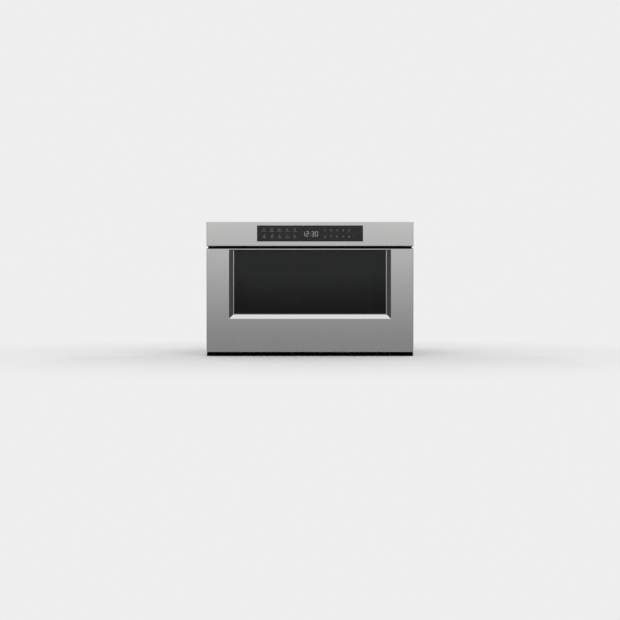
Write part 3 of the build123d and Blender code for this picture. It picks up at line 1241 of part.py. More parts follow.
def slide_bracket():
    """Upright that carries the outer member from the base, with a foot and lightening windows."""
    x = (BRACKET_FACE, CASE_INSIDE)
    plate = block(x, SLIDE_Y, (BASE_SHEET, BRACKET_TOP))
    foot_z = (BASE_SHEET, BASE_SHEET + BRACKET_SHEET)
    foot = block((BRACKET_FACE - BRACKET_FOOT, CASE_INSIDE), SLIDE_Y, foot_z)
    side = Plane(origin=(x[0], 0, 0), x_dir=(0, 1, 0), z_dir=(1, 0, 0))
    middle = (SLIDE_Y[0] + SLIDE_Y[1]) / 2
    cuts = []
    for place in row(BRACKET_WINDOW_COUNT, SLIDE_LENGTH / BRACKET_WINDOW_COUNT, middle):
        outline = notched(BRACKET_WINDOW_LENGTH, BRACKET_WINDOW_HEIGHT, WINDOW_CORNER)
        place_z = BRACKET_WINDOW_LOW + BRACKET_WINDOW_HEIGHT / 2
        cuts.append(extrude(side * Pos(place, place_z) * outline, BRACKET_SHEET))
    return without(plate + foot, cuts)


# ---- Drive -----------------------------------------------------------------------------------
def pinion_x():
    """Limits of the right-hand pinion's face."""
    return (ARM_FACE + PINION_SIDE, ARM_FACE + PINION_SIDE + PINION_FACE)


def pedestal_x():
    """Limits of the right-hand pedestal, inside the arm."""
    outer = ARM_INSIDE - PEDESTAL_GAP
    return (outer - PEDESTAL_THICKNESS, outer)


def drive_shaft():
    """Cross shaft under the cavity, held endways by the pinions outside its pedestals."""
    return rod_x(span(BRACKET_FACE - SHAFT_END), SHAFT_Y, SHAFT_Z, SHAFT_RADIUS)


def rack_pinion():
    """Pinion on the right-hand end of the shaft, with a tooth straight above its axis."""
    return involute_gear(PINION_TEETH, RACK_MODULE, pinion_x(), SHAFT_Y, SHAFT_Z, SHAFT_RADIUS, UPRIGHT)


def driven_gear():
    """Gear on the shaft that the motor turns, with a tooth that points at the motor's pinion."""
    x = around(GEAR_X, GEAR_FACE / 2)
    return involute_gear(DRIVEN_TEETH, GEAR_MODULE, x, SHAFT_Y, SHAFT_Z, SHAFT_RADIUS, MESH_ANGLE)


def motor_pinion():
    """Small pinion in mesh with the driven gear, on the gear motor's output shaft."""
    x = around(GEAR_X, GEAR_FACE / 2)
    tooth_angle = MESH_ANGLE + 180 + 180 / MOTOR_TEETH
    bore = MOTOR_SHAFT_RADIUS / 2
    gear = involute_gear(MOTOR_TEETH, GEAR_MODULE, x, MOTOR_Y, MOTOR_Z, bore, tooth_angle)
    shaft = rod_x((x[0], x[1] + GEARBOX_GAP + MOTOR_SHAFT_SEAT), MOTOR_Y, MOTOR_Z, MOTOR_SHAFT_RADIUS)
    return gear + shaft


def drive_motor():
    """Gear motor on the base: gearbox with cut corners, motor can and screwed feet."""
    start = GEAR_X + GEAR_FACE / 2 + GEARBOX_GAP
    x = (start, start + GEARBOX_LENGTH)
    y = (MOTOR_Y - GEARBOX_FRONT, MOTOR_Y - GEARBOX_FRONT + GEARBOX_DEPTH)
    z = (BASE_SHEET + BRACKET_SHEET, BASE_SHEET + BRACKET_SHEET + GEARBOX_HEIGHT)
    side = Plane(origin=(x[0], 0, 0), x_dir=(0, 1, 0), z_dir=(1, 0, 0))
    can_y = (y[0] + y[1]) / 2
    can_z = (z[0] + z[1]) / 2
    outline = notched(y[1] - y[0], z[1] - z[0], GEARBOX_CORNER)
    gearbox = extrude(side * Pos(can_y, can_z) * outline, GEARBOX_LENGTH)
    bore_x = (x[0], x[0] + MOTOR_SHAFT_SEAT + SLIP)
    bore = rod_x(bore_x, MOTOR_Y, MOTOR_Z, MOTOR_SHAFT_RADIUS + RUNNING)
    can = rod_x((x[1], x[1] + MOTOR_CAN_LENGTH), can_y, can_z, MOTOR_CAN_RADIUS)
    foot_z = (BASE_SHEET, BASE_SHEET + BRACKET_SHEET)
    feet = block(grown(x, PEDESTAL_FOOT), grown(y, -GEARBOX_CORNER), foot_z)
    return joined([gearbox, can, feet]) - bore


def shaft_bearing():
    """Pedestal with a foot and a bored head that carries the shaft."""
    x = pedestal_x()
    top = SHAFT_Z + PEDESTAL_WIDTH / 2
    side = Plane(origin=(x[0], 0, 0), x_dir=(0, 1, 0), z_dir=(1, 0, 0))
    outline = Pos(SHAFT_Y, (BASE_SHEET + top) / 2) * Rectangle(PEDESTAL_WIDTH, top - BASE_SHEET)
    outline = chamfer(outline.vertices().group_by(Axis.Z)[-1], PEDESTAL_WIDTH / 4)
    post = extrude(side * outline, PEDESTAL_THICKNESS)
    foot_x = (x[0] - PEDESTAL_FOOT, x[1])
    foot = block(foot_x, around(SHAFT_Y, PEDESTAL_WIDTH / 2), (BASE_SHEET, BASE_SHEET + BRACKET_SHEET))
    return post + foot - rod_x(x, SHAFT_Y, SHAFT_Z, SHAFT_RADIUS + RUNNING)


# ---- Interlock -------------------------------------------------------------------------------
def latch_head():
    """Hooked tongue on the door's back that enters the frame's slot."""
    z = around(LATCH_Z, LATCH_HEIGHT / 2)
    hook = LATCH_TIP - 2 * LATCH_NOSE
    top = z[1] + LATCH_NOSE
    points = [
        (DOOR_BACK, z[0]), (LATCH_TIP, z[0]), (LATCH_TIP, z[1]), (LATCH_TIP - LATCH_NOSE, top),
        (hook, top), (hook, z[1]), (DOOR_BACK, z[1]),
    ]
    outline = make_face(Polyline(*points, close=True))
    tongue = extrude(Plane.YZ.offset(LATCH_X - LATCH_THICKNESS / 2) * outline, LATCH_THICKNESS)
    foot_x = around(LATCH_X, LATCH_THICKNESS)
    foot = block(foot_x, (DOOR_BACK, DOOR_BACK + LATCH_BASE), grown(z, LATCH_NOSE))
    return tongue + foot


def lever_x():
    """Limits of the interlock lever along its pin."""
    return around(LATCH_X, LEVER_THICKNESS / 2)


def interlock_lever():
    """Lever whose finger stands behind the latch head and presses the switches."""
    eye = rod_x(lever_x(), LEVER_Y, LEVER_Z, LEVER_EYE)
    finger_z = (LEVER_Z, LATCH_Z + LEVER_RISE)
    finger = block(lever_x(), around(LEVER_Y, LEVER_FINGER / 2), finger_z)
    return eye + finger - rod_x(lever_x(), LEVER_Y, LEVER_Z, PIN_RADIUS + RUNNING)


def interlock_bracket():
    """Moulded bracket behind the frame that carries the lever's pin and the switches."""
    x = (LATCH_BRACKET_X, LATCH_BRACKET_X + LATCH_BRACKET)
    top = LATCH_Z + LEVER_RISE + LEVER_EYE
    y = (FRAME_BACK, LEVER_Y + LEVER_FINGER / 2 + LEVER_GAP + PLUNGER_REACH + SWITCH_LENGTH)
    plate = block(x, y, (LEVER_Z - 2 * LEVER_EYE, top))
    flange_z = (LATCH_Z + LATCH_HEIGHT / 2 + LATCH_NOSE + LATCH_SLOT_CLEAR, top)
    flange = block((LATCH_X - SWITCH_WIDTH / 2, x[1]), (y[0], y[0] + BRACKET_SHEET), flange_z)
    pin = rod_x((lever_x()[0] - BRACKET_SHEET, x[0]), LEVER_Y, LEVER_Z, PIN_RADIUS)
    return joined([plate, flange, pin])


def interlock_switches():
    """Three small switches on the bracket, each with its plunger towards the lever."""
    switches = []
    start = LEVER_Y + LEVER_FINGER / 2 + LEVER_GAP + PLUNGER_REACH
    for z in row(3, SWITCH_PITCH, LATCH_Z):
        body_x = (LATCH_BRACKET_X - SWITCH_WIDTH, LATCH_BRACKET_X)
        body = block(body_x, (start, start + SWITCH_LENGTH), around(z, SWITCH_HEIGHT / 2))
        plunger_y = (start - PLUNGER_REACH, start)
        plunger = block(around(LATCH_X, PLUNGER_HALF), plunger_y, around(z, PLUNGER_HALF))
        switches.append(body + plunger)
    return switches


# ---- Write every sub-part --------------------------------------------------------------------
os.makedirs("parts", exist_ok=True)

SINGLE_PIECES = [
    base_plate, outer_case, rear_cover, front_frame, cavity_liner, antenna_cover, waveguide, magnetron,
    antenna_motor, rotating_antenna, transformer_core, high_voltage_capacitor, noise_filter, cord_gland,
    fan_shroud, fan_motor, fan_blade, exhaust_duct, lamp_holder, oven_lamp, control_fascia, control_glass,
    control_housing, control_board, display_module, vent_trim, front_panel, window_bezel, door_glass,
    window_screen, inner_glass, door_frame, choke_cover, tub_shell, ceramic_tray, drive_shaft,
    driven_gear, motor_pinion, drive_motor, latch_head, interlock_lever, interlock_bracket,
]
for piece in SINGLE_PIECES:
    save(piece.__name__, piece())

for piece in (carriage_arm, rack, slide_outer, slide_middle, slide_inner):
    right = piece()
    save(f"{piece.__name__}_right", right)
    save(f"{piece.__name__}_left", mirrored(right))

for piece in (slide_bracket, rack_pinion, shaft_bearing):
    right = piece()
    save(f"{piece.__name__}s", right, mirrored(right))

for group in (transformer_windings, thermal_cutouts, interlock_switches):
    save(group.__name__, *group())

CAGE_HEIGHTS = {"outer_roller_cages": MIDDLE_HALF_HEIGHT, "inner_roller_cages": INNER_HALF_HEIGHT}
for name, inner_half_height in CAGE_HEIGHTS.items():
    strips = roller_cage(inner_half_height)
    save(name, *strips, *[mirrored(strip) for strip in strips])
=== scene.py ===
"""Looks of a built-in microwave drawer: stage, finishes and the pieces that only a close look shows.

Metres. +X is the viewer's right, the front faces -Y and +Z is up.
"""

import bpy
import numpy as np
from bpy.props import FloatProperty, FloatVectorProperty, IntProperty, PointerProperty
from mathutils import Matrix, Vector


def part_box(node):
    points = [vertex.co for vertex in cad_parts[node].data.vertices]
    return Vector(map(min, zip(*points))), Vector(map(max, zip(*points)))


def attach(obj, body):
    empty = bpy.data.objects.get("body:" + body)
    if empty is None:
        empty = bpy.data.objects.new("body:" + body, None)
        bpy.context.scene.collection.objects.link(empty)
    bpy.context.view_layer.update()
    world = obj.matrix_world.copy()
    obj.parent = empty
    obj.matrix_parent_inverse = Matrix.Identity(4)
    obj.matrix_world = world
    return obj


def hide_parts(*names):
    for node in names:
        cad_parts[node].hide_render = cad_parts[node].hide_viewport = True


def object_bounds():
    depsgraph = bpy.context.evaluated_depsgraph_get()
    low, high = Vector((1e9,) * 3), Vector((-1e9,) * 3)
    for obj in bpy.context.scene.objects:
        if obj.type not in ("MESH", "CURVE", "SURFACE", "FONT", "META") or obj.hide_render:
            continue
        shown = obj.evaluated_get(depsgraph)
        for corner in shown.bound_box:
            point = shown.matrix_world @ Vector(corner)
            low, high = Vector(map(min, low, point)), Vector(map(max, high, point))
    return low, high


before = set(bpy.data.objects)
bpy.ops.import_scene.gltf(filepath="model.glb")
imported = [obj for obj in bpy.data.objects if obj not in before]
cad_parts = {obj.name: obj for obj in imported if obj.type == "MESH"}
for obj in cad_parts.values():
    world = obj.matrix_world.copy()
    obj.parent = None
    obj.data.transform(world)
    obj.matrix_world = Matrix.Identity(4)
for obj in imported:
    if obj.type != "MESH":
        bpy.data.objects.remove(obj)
CAD_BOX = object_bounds()

bl_info = {
    "name": "Microwave Drawer",
    "version": (1, 0, 0),
    "blender": (4, 5, 0),
    "location": "View3D > Sidebar > Drawer",
    "description": "Dresses the frame of a built-in microwave drawer with finishes, legends and hardware",
    "category": "Object",
}

MM = 0.001
FRONT = CAD_BOX[0].y

# Lengths that the solids' boxes don't tell
WINDOW_FLANGE = 8.0 * MM  # edge of the window's bezel that lies behind the front
GLASS_COVERED = 8.1 * MM  # edge of the door's glass that the bezel's lip covers
LIP_SHEET = 1.2 * MM  # thickness of that lip
BOARD = 1.6 * MM  # thickness of a circuit board
BOARD_STANDOFF = 10.0 * MM  # from the noise filter's foot to its board
FOOT_TOP = 3.2 * MM  # from the base's underside to the top of a foot that stands on it
RIM_INSET = 1.0 * MM  # from the tub's side to the roll on its rim
RIM_CORNER = 26.8 * MM  # radius of that roll's outer side at the tub's back corners
TRAY_CORNER = 20.6 * MM  # radius of the tray's back corners

# Sizes and places of what is added
BALL_RADIUS = 2.1 * MM  # the slides' balls lie in races 4.8 mm high
COVER_SCREWS = (-0.13, 0.0, 0.13)  # places across the drawer of the screws along the cover's top and foot
TOP_SCREWS = (-0.2, -0.07, 0.07, 0.2)  # places across the drawer of the screws on the case's top
SEAL_DEPTH = 0.3 * MM  # how far the window's seal stands off its lip
# Painted light: heights over which the window's colour is painted paler upwards, and its uppermost dots paler
GLASS_PAINTED_LIGHT = (0.155, 0.250)  # heights between which the window gets paler
DOTS_PAINTED_LIGHT = (0.238, 0.243)  # heights between which the uppermost dots get paler
OFF_FLOOR = 0.001  # height of the card's and the flags' lowest edge
CAMERA_SENSOR = 36.0  # width of the camera's sensor in millimetres
WHOLE_PITCHES = 100.0  # added to the dots' grid, so that a fraction is never taken of a negative number


def colour(name, default, description):
    """A linear colour a user can change."""
    return FloatVectorProperty(
        name=name, description=description, subtype="COLOR", size=3, min=0.0, max=1.0, default=default)


def length(name, default, description):
    """A length in metres a user can change."""
    return FloatProperty(
        name=name, description=description, unit="LENGTH", min=0.0, default=default, precision=5)


def amount(name, default, description, high=1.0):
    """A plain number a user can change."""
    return FloatProperty(name=name, description=description, min=0.0, max=high, default=default, precision=4)


# ---- Settings --------------------------------------------------------------------------------
class StageSettings(bpy.types.PropertyGroup):
    """Floor, light and camera."""

    camera_distance: length("Camera distance", 3.0, "From the camera to the drawer's front")
    camera_height: length("Camera height", 0.1353, "Height of the level line of sight")
    view_width: length("View width", 1.8154, "Width that the camera sees at the drawer's front")
    floor_radius: length("Floor radius", 40.0, "Radius of the round floor")
    fade_start: length("Fade start", 0.35, "Where the floor starts to turn into the backdrop")
    fade_end: length("Fade end", 1.4, "Where the floor has turned into the backdrop")
    floor_colour: colour("Floor", (0.80, 0.80, 0.79), "Colour of the floor")
    backdrop_colour: colour("Backdrop", (0.86, 0.86, 0.86), "Colour seen behind the drawer")
    sky_light: amount("Sky light", 0.88, "Strength of the light from all round", 3.0)
    card_distance: length("Card distance", 0.56, "From the reflection card to the drawer's front")
    card_half_width: length("Card half width", 0.70, "Half the width of the reflection card")
    card_foot: length("Card foot", 0.005, "Height up to which the card is black")
    card_rise: length("Card rise", 0.09, "Height over which the black foot fades out")
    card_high: length("Card high", 0.50, "Height where the card is at its brightest")
    card_top: length("Card top", 0.9, "Height of the card's top edge")
    card_dark: amount("Card dark", 0.30, "Brightness that the card's even slope starts from", 3.0)
    card_bright: amount("Card bright", 0.98, "Brightness of the card's upper part", 3.0)
    flag_distance: length("Flag distance", 0.70, "From the dark side flags to the drawer's middle")
    flag_back: length("Flag back", 0.12, "How far the side flags reach behind the drawer's front")
    flag_fade: length("Flag fade", 0.16, "Length over which the side flags fade out at their back")
    flag_top: length("Flag top", 0.9, "Height of the side flags")
    flag_level: amount("Flag level", 0.08, "Brightness of the side flags")
    floor_flag: amount("Floor flag level", 0.37, "Brightness of the flag on the floor in front")
    lamp_power: amount("Lamp power", 9.0, "Watts of the soft lamp overhead", 500.0)
    lamp_height: length("Lamp height", 2.3, "Height of the soft lamp")
    lamp_forward: length("Lamp forward", 0.9, "How far the lamp hangs in front of the drawer")
    lamp_size: length("Lamp size", 3.0, "Side of the square lamp")


class FinishSettings(bpy.types.PropertyGroup):
    """Colours and surface of each finish."""

    steel_colour: colour("Stainless", (0.615, 0.615, 0.61), "Colour of the brushed front")
    steel_roughness: amount("Stainless roughness", 0.27, "How far the brushed front spreads a reflection")
    bevel_roughness: amount("Bevel roughness", 0.14, "How far the finer ground bevel spreads a reflection")
    steel_anisotropy: amount("Stainless direction", 0.70, "How much more it spreads across the grain")
    # Painted shade: width and tone of the dark line painted along the front's rolled top edges, for the dark
    # reflection they would show
    edge_shade_width: length("Rolled edge", 0.0014, "Width of the dark line along an edge that rolls inwards")
    edge_shade_tone: amount("Rolled edge tone", 0.12, "Share of the light that such an edge still sends forwards")
    glass_tint: colour("Window tint", (0.84, 1.0, 0.92), "Tint of the dark window glass")
    # Painted light: the window's colour goes from the first level at its foot to the second at its top
    glass_painted_foot: amount("Window low", 0.0002, "How pale the window is at its foot")
    glass_painted_top: amount("Window high", 0.0115, "How pale the window is at its top")
    dot_level: amount("Window dots", 0.0042, "How much paler the dots behind the window are")
    # Painted light: the uppermost dots are painted paler, as if lit from above
    dot_painted_light: amount("Window dots' edge", 0.0130, "How much paler the uppermost dots are")
    panel_colour: colour("Touch glass", (0.005, 0.005, 0.0055), "Colour of the touch glass")
    enamel_colour: colour("Enamel", (0.50, 0.51, 0.52), "Colour of the cavity and the tub")
    zinc_colour: colour("Zinc", (0.50, 0.51, 0.52), "Colour of the plated sheet")
    black_colour: colour("Black plastic", (0.0009, 0.0009, 0.001), "Colour of the vent strip")
    acetal_colour: colour("Gear plastic", (0.72, 0.70, 0.64), "Colour of the racks and gears")
    copper_colour: colour("Windings", (0.55, 0.20, 0.07), "Colour of the enamelled wire")
    legend_colour: colour("Legends", (0.20, 0.20, 0.21), "Colour of the printed keys")
    clock_colour: colour("Clock", (0.30, 0.32, 0.34), "Colour of the lit clock")
    clock_strength: amount("Clock strength", 0.25, "Glow of the lit clock", 10.0)


class LegendSettings(bpy.types.PropertyGroup):
    """Sizes and places of the touch panel's marks."""

    row_height: length("Row height", 0.3596, "Height of the line between the two rows of keys")
    row_pitch: length("Row pitch", 0.0187, "Distance between the two rows")
    icon_middle: length("Icon block", 0.0894, "Distance of the icons' middle left of the centre")
    icon_pitch: length("Icon pitch", 0.0226, "Distance between two icons")
    icon_size: length("Icon size", 0.0068, "Height of an icon")
    bar_length: length("Bar length", 0.0150, "Length of the line under an icon")
    digit_middle: length("Digit block", 0.0792, "Distance of the digits' middle right of the centre")
    digit_pitch: length("Digit pitch", 0.0177, "Distance between two digits")
    digit_height: length("Digit height", 0.0062, "Height of a digit")
    line_width: length("Line width", 0.0006, "Width of a printed line")
    print_depth: length("Print depth", 0.0001, "Thickness of the print")
    clock_height: length("Clock height", 0.0150, "Height of the clock's digits")
    clock_width: length("Clock width", 0.0500, "Width of the whole clock")
    clock_rise: length("Clock rise", 0.3580, "Height of the clock's middle")


class HardwareSettings(bpy.types.PropertyGroup):
    """Screws, welds, bumpers, seals and balls."""

    screw_radius: length("Screw flange", 0.0046, "Radius of a screw head's flange")
    screw_hex: length("Screw hexagon", 0.0036, "Radius of a screw head's corners")
    screw_height: length("Screw height", 0.0030, "Height of a screw head")
    weld_radius: length("Weld radius", 0.0026, "Radius of a spot weld's mark")
    weld_height: length("Weld height", 0.0003, "Height of a spot weld's mark")
    weld_pitch: length("Weld pitch", 0.045, "Distance between two spot welds")
    bumper_radius: length("Bumper radius", 0.0060, "Radius of a rubber bumper")
    bumper_height: length("Bumper height", 0.0009, "Height of a rubber bumper")
    # The window's bead also stands in for the shade along the lip's inner edge
    window_seal: length("Window seal", 0.0012, "Width of the bead round the window's glass")
    seal_size: length("Seal size", 0.0030, "Width and height of the sealant round the tray")
    bead_radius: length("Rim bead", 0.0017, "Radius of the roll on the tub's rim")
    ball_pitch: length("Ball pitch", 0.0090, "Distance between two balls in a cage")
    ball_rings: IntProperty(
        name="Ball rings", description="Rings of faces on a ball", default=6, min=3, max=24)
    ball_sides: IntProperty(
        name="Ball sides", description="Faces round a ball", default=10, min=4, max=48)


# ---- Node helpers ----------------------------------------------------------------------------
def put(tree, kind, inputs=None, **own):
    """Add a node: own are its properties, inputs its sockets' values, or sockets to link them to."""
    node = tree.nodes.new(kind)
    for key, value in own.items():
        setattr(node, key, value)
    for key, value in (inputs or {}).items():
        if isinstance(value, bpy.types.NodeSocket):
            tree.links.new(value, node.inputs[key])
        else:
            node.inputs[key].default_value = value
    return node


def calc(tree, operation, *values):
    """Result of a Math node."""
    return put(tree, "ShaderNodeMath", dict(enumerate(values)), operation=operation).outputs[0]


def spread(tree, value, low, high, to_low, to_high):
    """A value mapped from one range to another, held at the ends."""
    inputs = {"Value": value, "From Min": low, "From Max": high, "To Min": to_low, "To Max": to_high}
    return put(tree, "ShaderNodeMapRange", inputs).outputs["Result"]


def between(tree, value, low, high):
    """1 where a value lies between two others, and 0 elsewhere."""
    above = calc(tree, "GREATER_THAN", value, low)
    return calc(tree, "MULTIPLY", above, calc(tree, "LESS_THAN", value, high))


def weighted(tree, first, second, share):
    """Sum of two masks, the first by its share and the second by the rest."""
    rest = calc(tree, "MULTIPLY", second, 1.0 - share)
    return calc(tree, "ADD", calc(tree, "MULTIPLY", first, share), rest)


def opaque(rgb):
    """A colour with full alpha."""
    return (*rgb, 1.0)


def toned(rgb, share):
    """A colour made darker or lighter."""
    return tuple(min(1.0, part * share) for part in rgb)


def blend_colour(tree, factor, first, second):
    """Colour that goes from the first to the second as the factor goes from 0 to 1."""
    return put(tree, "ShaderNodeMix", {0: factor, 6: first, 7: second}, data_type="RGBA").outputs[2]


def tones(tree, mask, rgb, low, high):
    """Colour that goes from one tone of rgb to another as the mask goes from 0 to 1."""
    return blend_colour(tree, mask, opaque(toned(rgb, low)), opaque(toned(rgb, high)))


def object_place(tree):
    """Object coordinates in metres."""
    return put(tree, "ShaderNodeTexCoord").outputs["Object"]


def coordinate(tree, axis):
    """One object coordinate: 0 is across, 1 is depth and 2 is height."""
    return put(tree, "ShaderNodeSeparateXYZ", {0: object_place(tree)}).outputs[axis]


def noise(tree, place, scale, detail, roughness=0.5):
    """Noise from 0 to 1."""
    inputs = {"Vector": place, "Scale": scale, "Detail": detail, "Roughness": roughness}
    return put(tree, "ShaderNodeTexNoise", inputs).outputs["Fac"]


def cells(tree, scale, **own):
    """Cell pattern: the Distance from a cell's middle and the cell's random Color."""
    return put(tree, "ShaderNodeTexVoronoi", {"Vector": object_place(tree), "Scale": scale}, **own).outputs


def colour_part(tree, whole, part):
    """One part of a colour: 0 is red, 1 is green and 2 is blue."""
    return put(tree, "ShaderNodeSeparateColor", {0: whole}).outputs[part]


def seen_ray(tree):
    """1 for what the camera sees, straight or in metal and glass, and 0 for the light on matt surfaces."""
    path = put(tree, "ShaderNodeLightPath").outputs
    reflected = calc(tree, "MAXIMUM", path["Is Glossy Ray"], path["Is Transmission Ray"])
    return calc(tree, "MAXIMUM", path["Is Camera Ray"], reflected)


# ---- Shared effects: each works out its group's outputs from the group's inputs ---------------
def grain(tree, given):
    """Brushed grain: noise squeezed across the grain and drawn out along it, at two widths."""
    stretched = {0: object_place(tree), 1: given["Stretch"]}
    place = put(tree, "ShaderNodeVectorMath", stretched, operation="MULTIPLY").outputs[0]
    fine = noise(tree, place, 1.0, 3.0)
    wide = noise(tree, place, 0.11, 2.0)
    return weighted(tree, fine, wide, 0.6), fine


def handling(tree, given):
    """Handling: slow patches, a few centimetres across, with finer cloudiness inside them."""
    cloud = noise(tree, object_place(tree), given["Scale"], 5.0, 0.55)
    return (spread(tree, cloud, 0.35, 0.65, 0.0, 1.0),)


def spangle(tree, given):
    """Zinc spangle: crystals a few millimetres wide, each with its own shade and a slight tilt."""
    crystals = cells(tree, given["Scale"])
    return colour_part(tree, crystals["Color"], 0), crystals["Distance"]


def orange_peel(tree, given):
    """Orange peel: the low ripples of sprayed enamel, with dark specks thinly strewn in it."""
    ripple = noise(tree, object_place(tree), given["Ripple"], 1.0)
    specks = cells(tree, given["Specks"])
    near = spread(tree, specks["Distance"], 0.18, 0.30, 1.0, 0.0)
    rare = spread(tree, colour_part(tree, specks["Color"], 1), 0.86, 0.87, 0.0, 1.0)
    return ripple, calc(tree, "MULTIPLY", near, rare)


def moulded(tree, given):
    """Moulded skin: the fine eroded grain of an injection mould, and slow sink marks."""
    place = object_place(tree)
    return noise(tree, place, given["Scale"], 2.0), noise(tree, place, 25.0, 2.0)


def dot_screen(tree, given):
    """Dot screen: round dots on a square grid in the plane of the door, inside a rectangle.

    A dot's mask is 1 within its radius of the nearest grid point, in shares of the pitch.
    """
    across, height = coordinate(tree, 0), coordinate(tree, 2)
    squares = []
    for along in (across, height):
        share = calc(tree, "ADD", calc(tree, "DIVIDE", along, given["Pitch"]), WHOLE_PITCHES)
        offset = calc(tree, "SUBTRACT", calc(tree, "FRACT", share), 0.5)
        squares.append(calc(tree, "MULTIPLY", offset, offset))
    away = calc(tree, "SQRT", calc(tree, "ADD", *squares))
    dot = calc(tree, "LESS_THAN", away, given["Radius"])
    inside = calc(tree, "LESS_THAN", calc(tree, "ABSOLUTE", across), given["Half width"])
    field = calc(tree, "MULTIPLY", inside, between(tree, height, given["Low"], given["High"]))
    return (calc(tree, "MULTIPLY", dot, field),)


# Each effect's function, label, inputs with their defaults, and outputs
EFFECTS = {
    "grain": (grain, "Brushed grain", {"Stretch": (4.0, 4.0, 1500.0)}, ("Shade", "Height")),
    "handling": (handling, "Handling", {"Scale": 9.0}, ("Patch",)),
    "spangle": (spangle, "Zinc spangle", {"Scale": 170.0}, ("Shade", "Height")),
    "peel": (orange_peel, "Orange peel", {"Ripple": 420.0, "Specks": 900.0}, ("Height", "Speck")),
    "moulded": (moulded, "Moulded skin", {"Scale": 2600.0}, ("Height", "Sink")),
    "dots": (dot_screen, "Dot screen",
             {"Pitch": 0.0018, "Radius": 0.33, "Half width": 0.184, "Low": 0.135, "High": 0.244}, ("Dot",)),
}
groups = {}


def shared_group(work_out, label, inputs, outputs):
    """Shader group that puts out what a function works out. A default of three numbers is a vector."""
    group = bpy.data.node_groups.new(label, "ShaderNodeTree")
    for name, default in inputs.items():
        kind = "NodeSocketVector" if isinstance(default, tuple) else "NodeSocketFloat"
        group.interface.new_socket(name=name, in_out="INPUT", socket_type=kind).default_value = default
    for name in outputs:
        group.interface.new_socket(name=name, in_out="OUTPUT", socket_type="NodeSocketFloat")
    given = group.nodes.new("NodeGroupInput").outputs
    made = group.nodes.new("NodeGroupOutput").inputs
    for name, value in zip(outputs, work_out(group, given)):
        group.links.new(value, made[name])
    return group


class Finish:
    """A material with one Principled shader, and the ways in which masks vary it."""

    def __init__(self, name, rgb, roughness, **values):
        """Set the shader's plain values."""
        self.material = bpy.data.materials.new(name)
        self.material.use_nodes = True
        self.tree = self.material.node_tree
        self.shader = self.tree.nodes["Principled BSDF"]
        self.rgb = rgb
        for key, value in {"Base Color": opaque(rgb), "Roughness": roughness, **values}.items():
            self.shader.inputs[key.replace("_", " ")].default_value = value

    def effect(self, name, **inputs):
        """Outputs of a shared effect placed in the material. Its group is built the first time."""
        if name not in groups:
            groups[name] = shared_group(*EFFECTS[name])
        node = self.tree.nodes.new("ShaderNodeGroup")
        node.node_tree = groups[name]
        for key, value in inputs.items():
            node.inputs[key.replace("_", " ")].default_value = value
        return node.outputs

    def feed(self, socket, value):
        """Link a colour, a mask or a normal to one of the shader's sockets."""
        self.tree.links.new(value, self.shader.inputs[socket])

    def shade(self, mask, low, high):
        """Let a mask take the colour from one tone of itself to another."""
        self.feed("Base Color", tones(self.tree, mask, self.rgb, low, high))

    def rough(self, mask, low, high):
        """Let a mask take the roughness from one value to another."""
        self.feed("Roughness", spread(self.tree, mask, 0.0, 1.0, low, high))

    def bump(self, height, strength, depth):
        """Bump from a height that is worth depth metres."""
        inputs = {"Height": height, "Strength": strength, "Distance": depth}
        self.feed("Normal", put(self.tree, "ShaderNodeBump", inputs).outputs[0])


# ---- Finishes --------------------------------------------------------------------------------
def edge_shade_mask(tree, edges, width):
    """Mask of painted shade that is 1 along level edges, each given by its height and half its length, and 0
    elsewhere.
    """
    across = calc(tree, "ABSOLUTE", coordinate(tree, 0))
    height = coordinate(tree, 2)
    mask = 0.0
    for rise, half in edges:
        away = calc(tree, "ABSOLUTE", calc(tree, "SUBTRACT", height, rise))
        near = spread(tree, away, 0.7 * width, 1.3 * width, 1.0, 0.0)
        along = calc(tree, "LESS_THAN", across, half)
        mask = calc(tree, "MAXIMUM", mask, calc(tree, "MULTIPLY", near, along))
    return mask


def brushed_stainless(s, edges):
    """Front skin: horizontal grain, faint handling marks, and level edges that roll inwards, along which a
    dark line of painted shade stands in for the dark reflection they would show.
    """
    steel = Finish(
        "Brushed stainless", s.steel_colour, s.steel_roughness, Metallic=1.0,
        Anisotropic=s.steel_anisotropy, Anisotropic_Rotation=0.25)
    brushed = steel.effect("grain", Stretch=(9.0, 9.0, 3000.0))
    patch = steel.effect("handling", Scale=7.0)["Patch"]
    skin = tones(steel.tree, brushed["Shade"], s.steel_colour, 0.98, 1.02)
    # Painted shade: a dark line along the window's and the door's top edges
    painted_edge_shade = edge_shade_mask(steel.tree, edges, s.edge_shade_width)
    edge = opaque(toned(s.steel_colour, s.edge_shade_tone))
    steel.feed("Base Color", blend_colour(steel.tree, painted_edge_shade, skin, edge))
    worn = weighted(steel.tree, patch, brushed["Shade"], 0.35)
    steel.rough(worn, s.steel_roughness - 0.02, s.steel_roughness + 0.025)
    steel.bump(brushed["Height"], 0.003, 0.01 * MM)
    return steel.material


def ground_stainless(s):
    """Window bevel: finer ground than the front, so it mirrors the room more clearly."""
    steel = Finish("Ground stainless", s.steel_colour, s.bevel_roughness, Metallic=1.0)
    ground = steel.effect("grain", Stretch=(9.0, 9.0, 5000.0))["Shade"]
    steel.shade(ground, 0.97, 1.03)
    steel.rough(ground, s.bevel_roughness - 0.03, s.bevel_roughness + 0.03)
    return steel.material


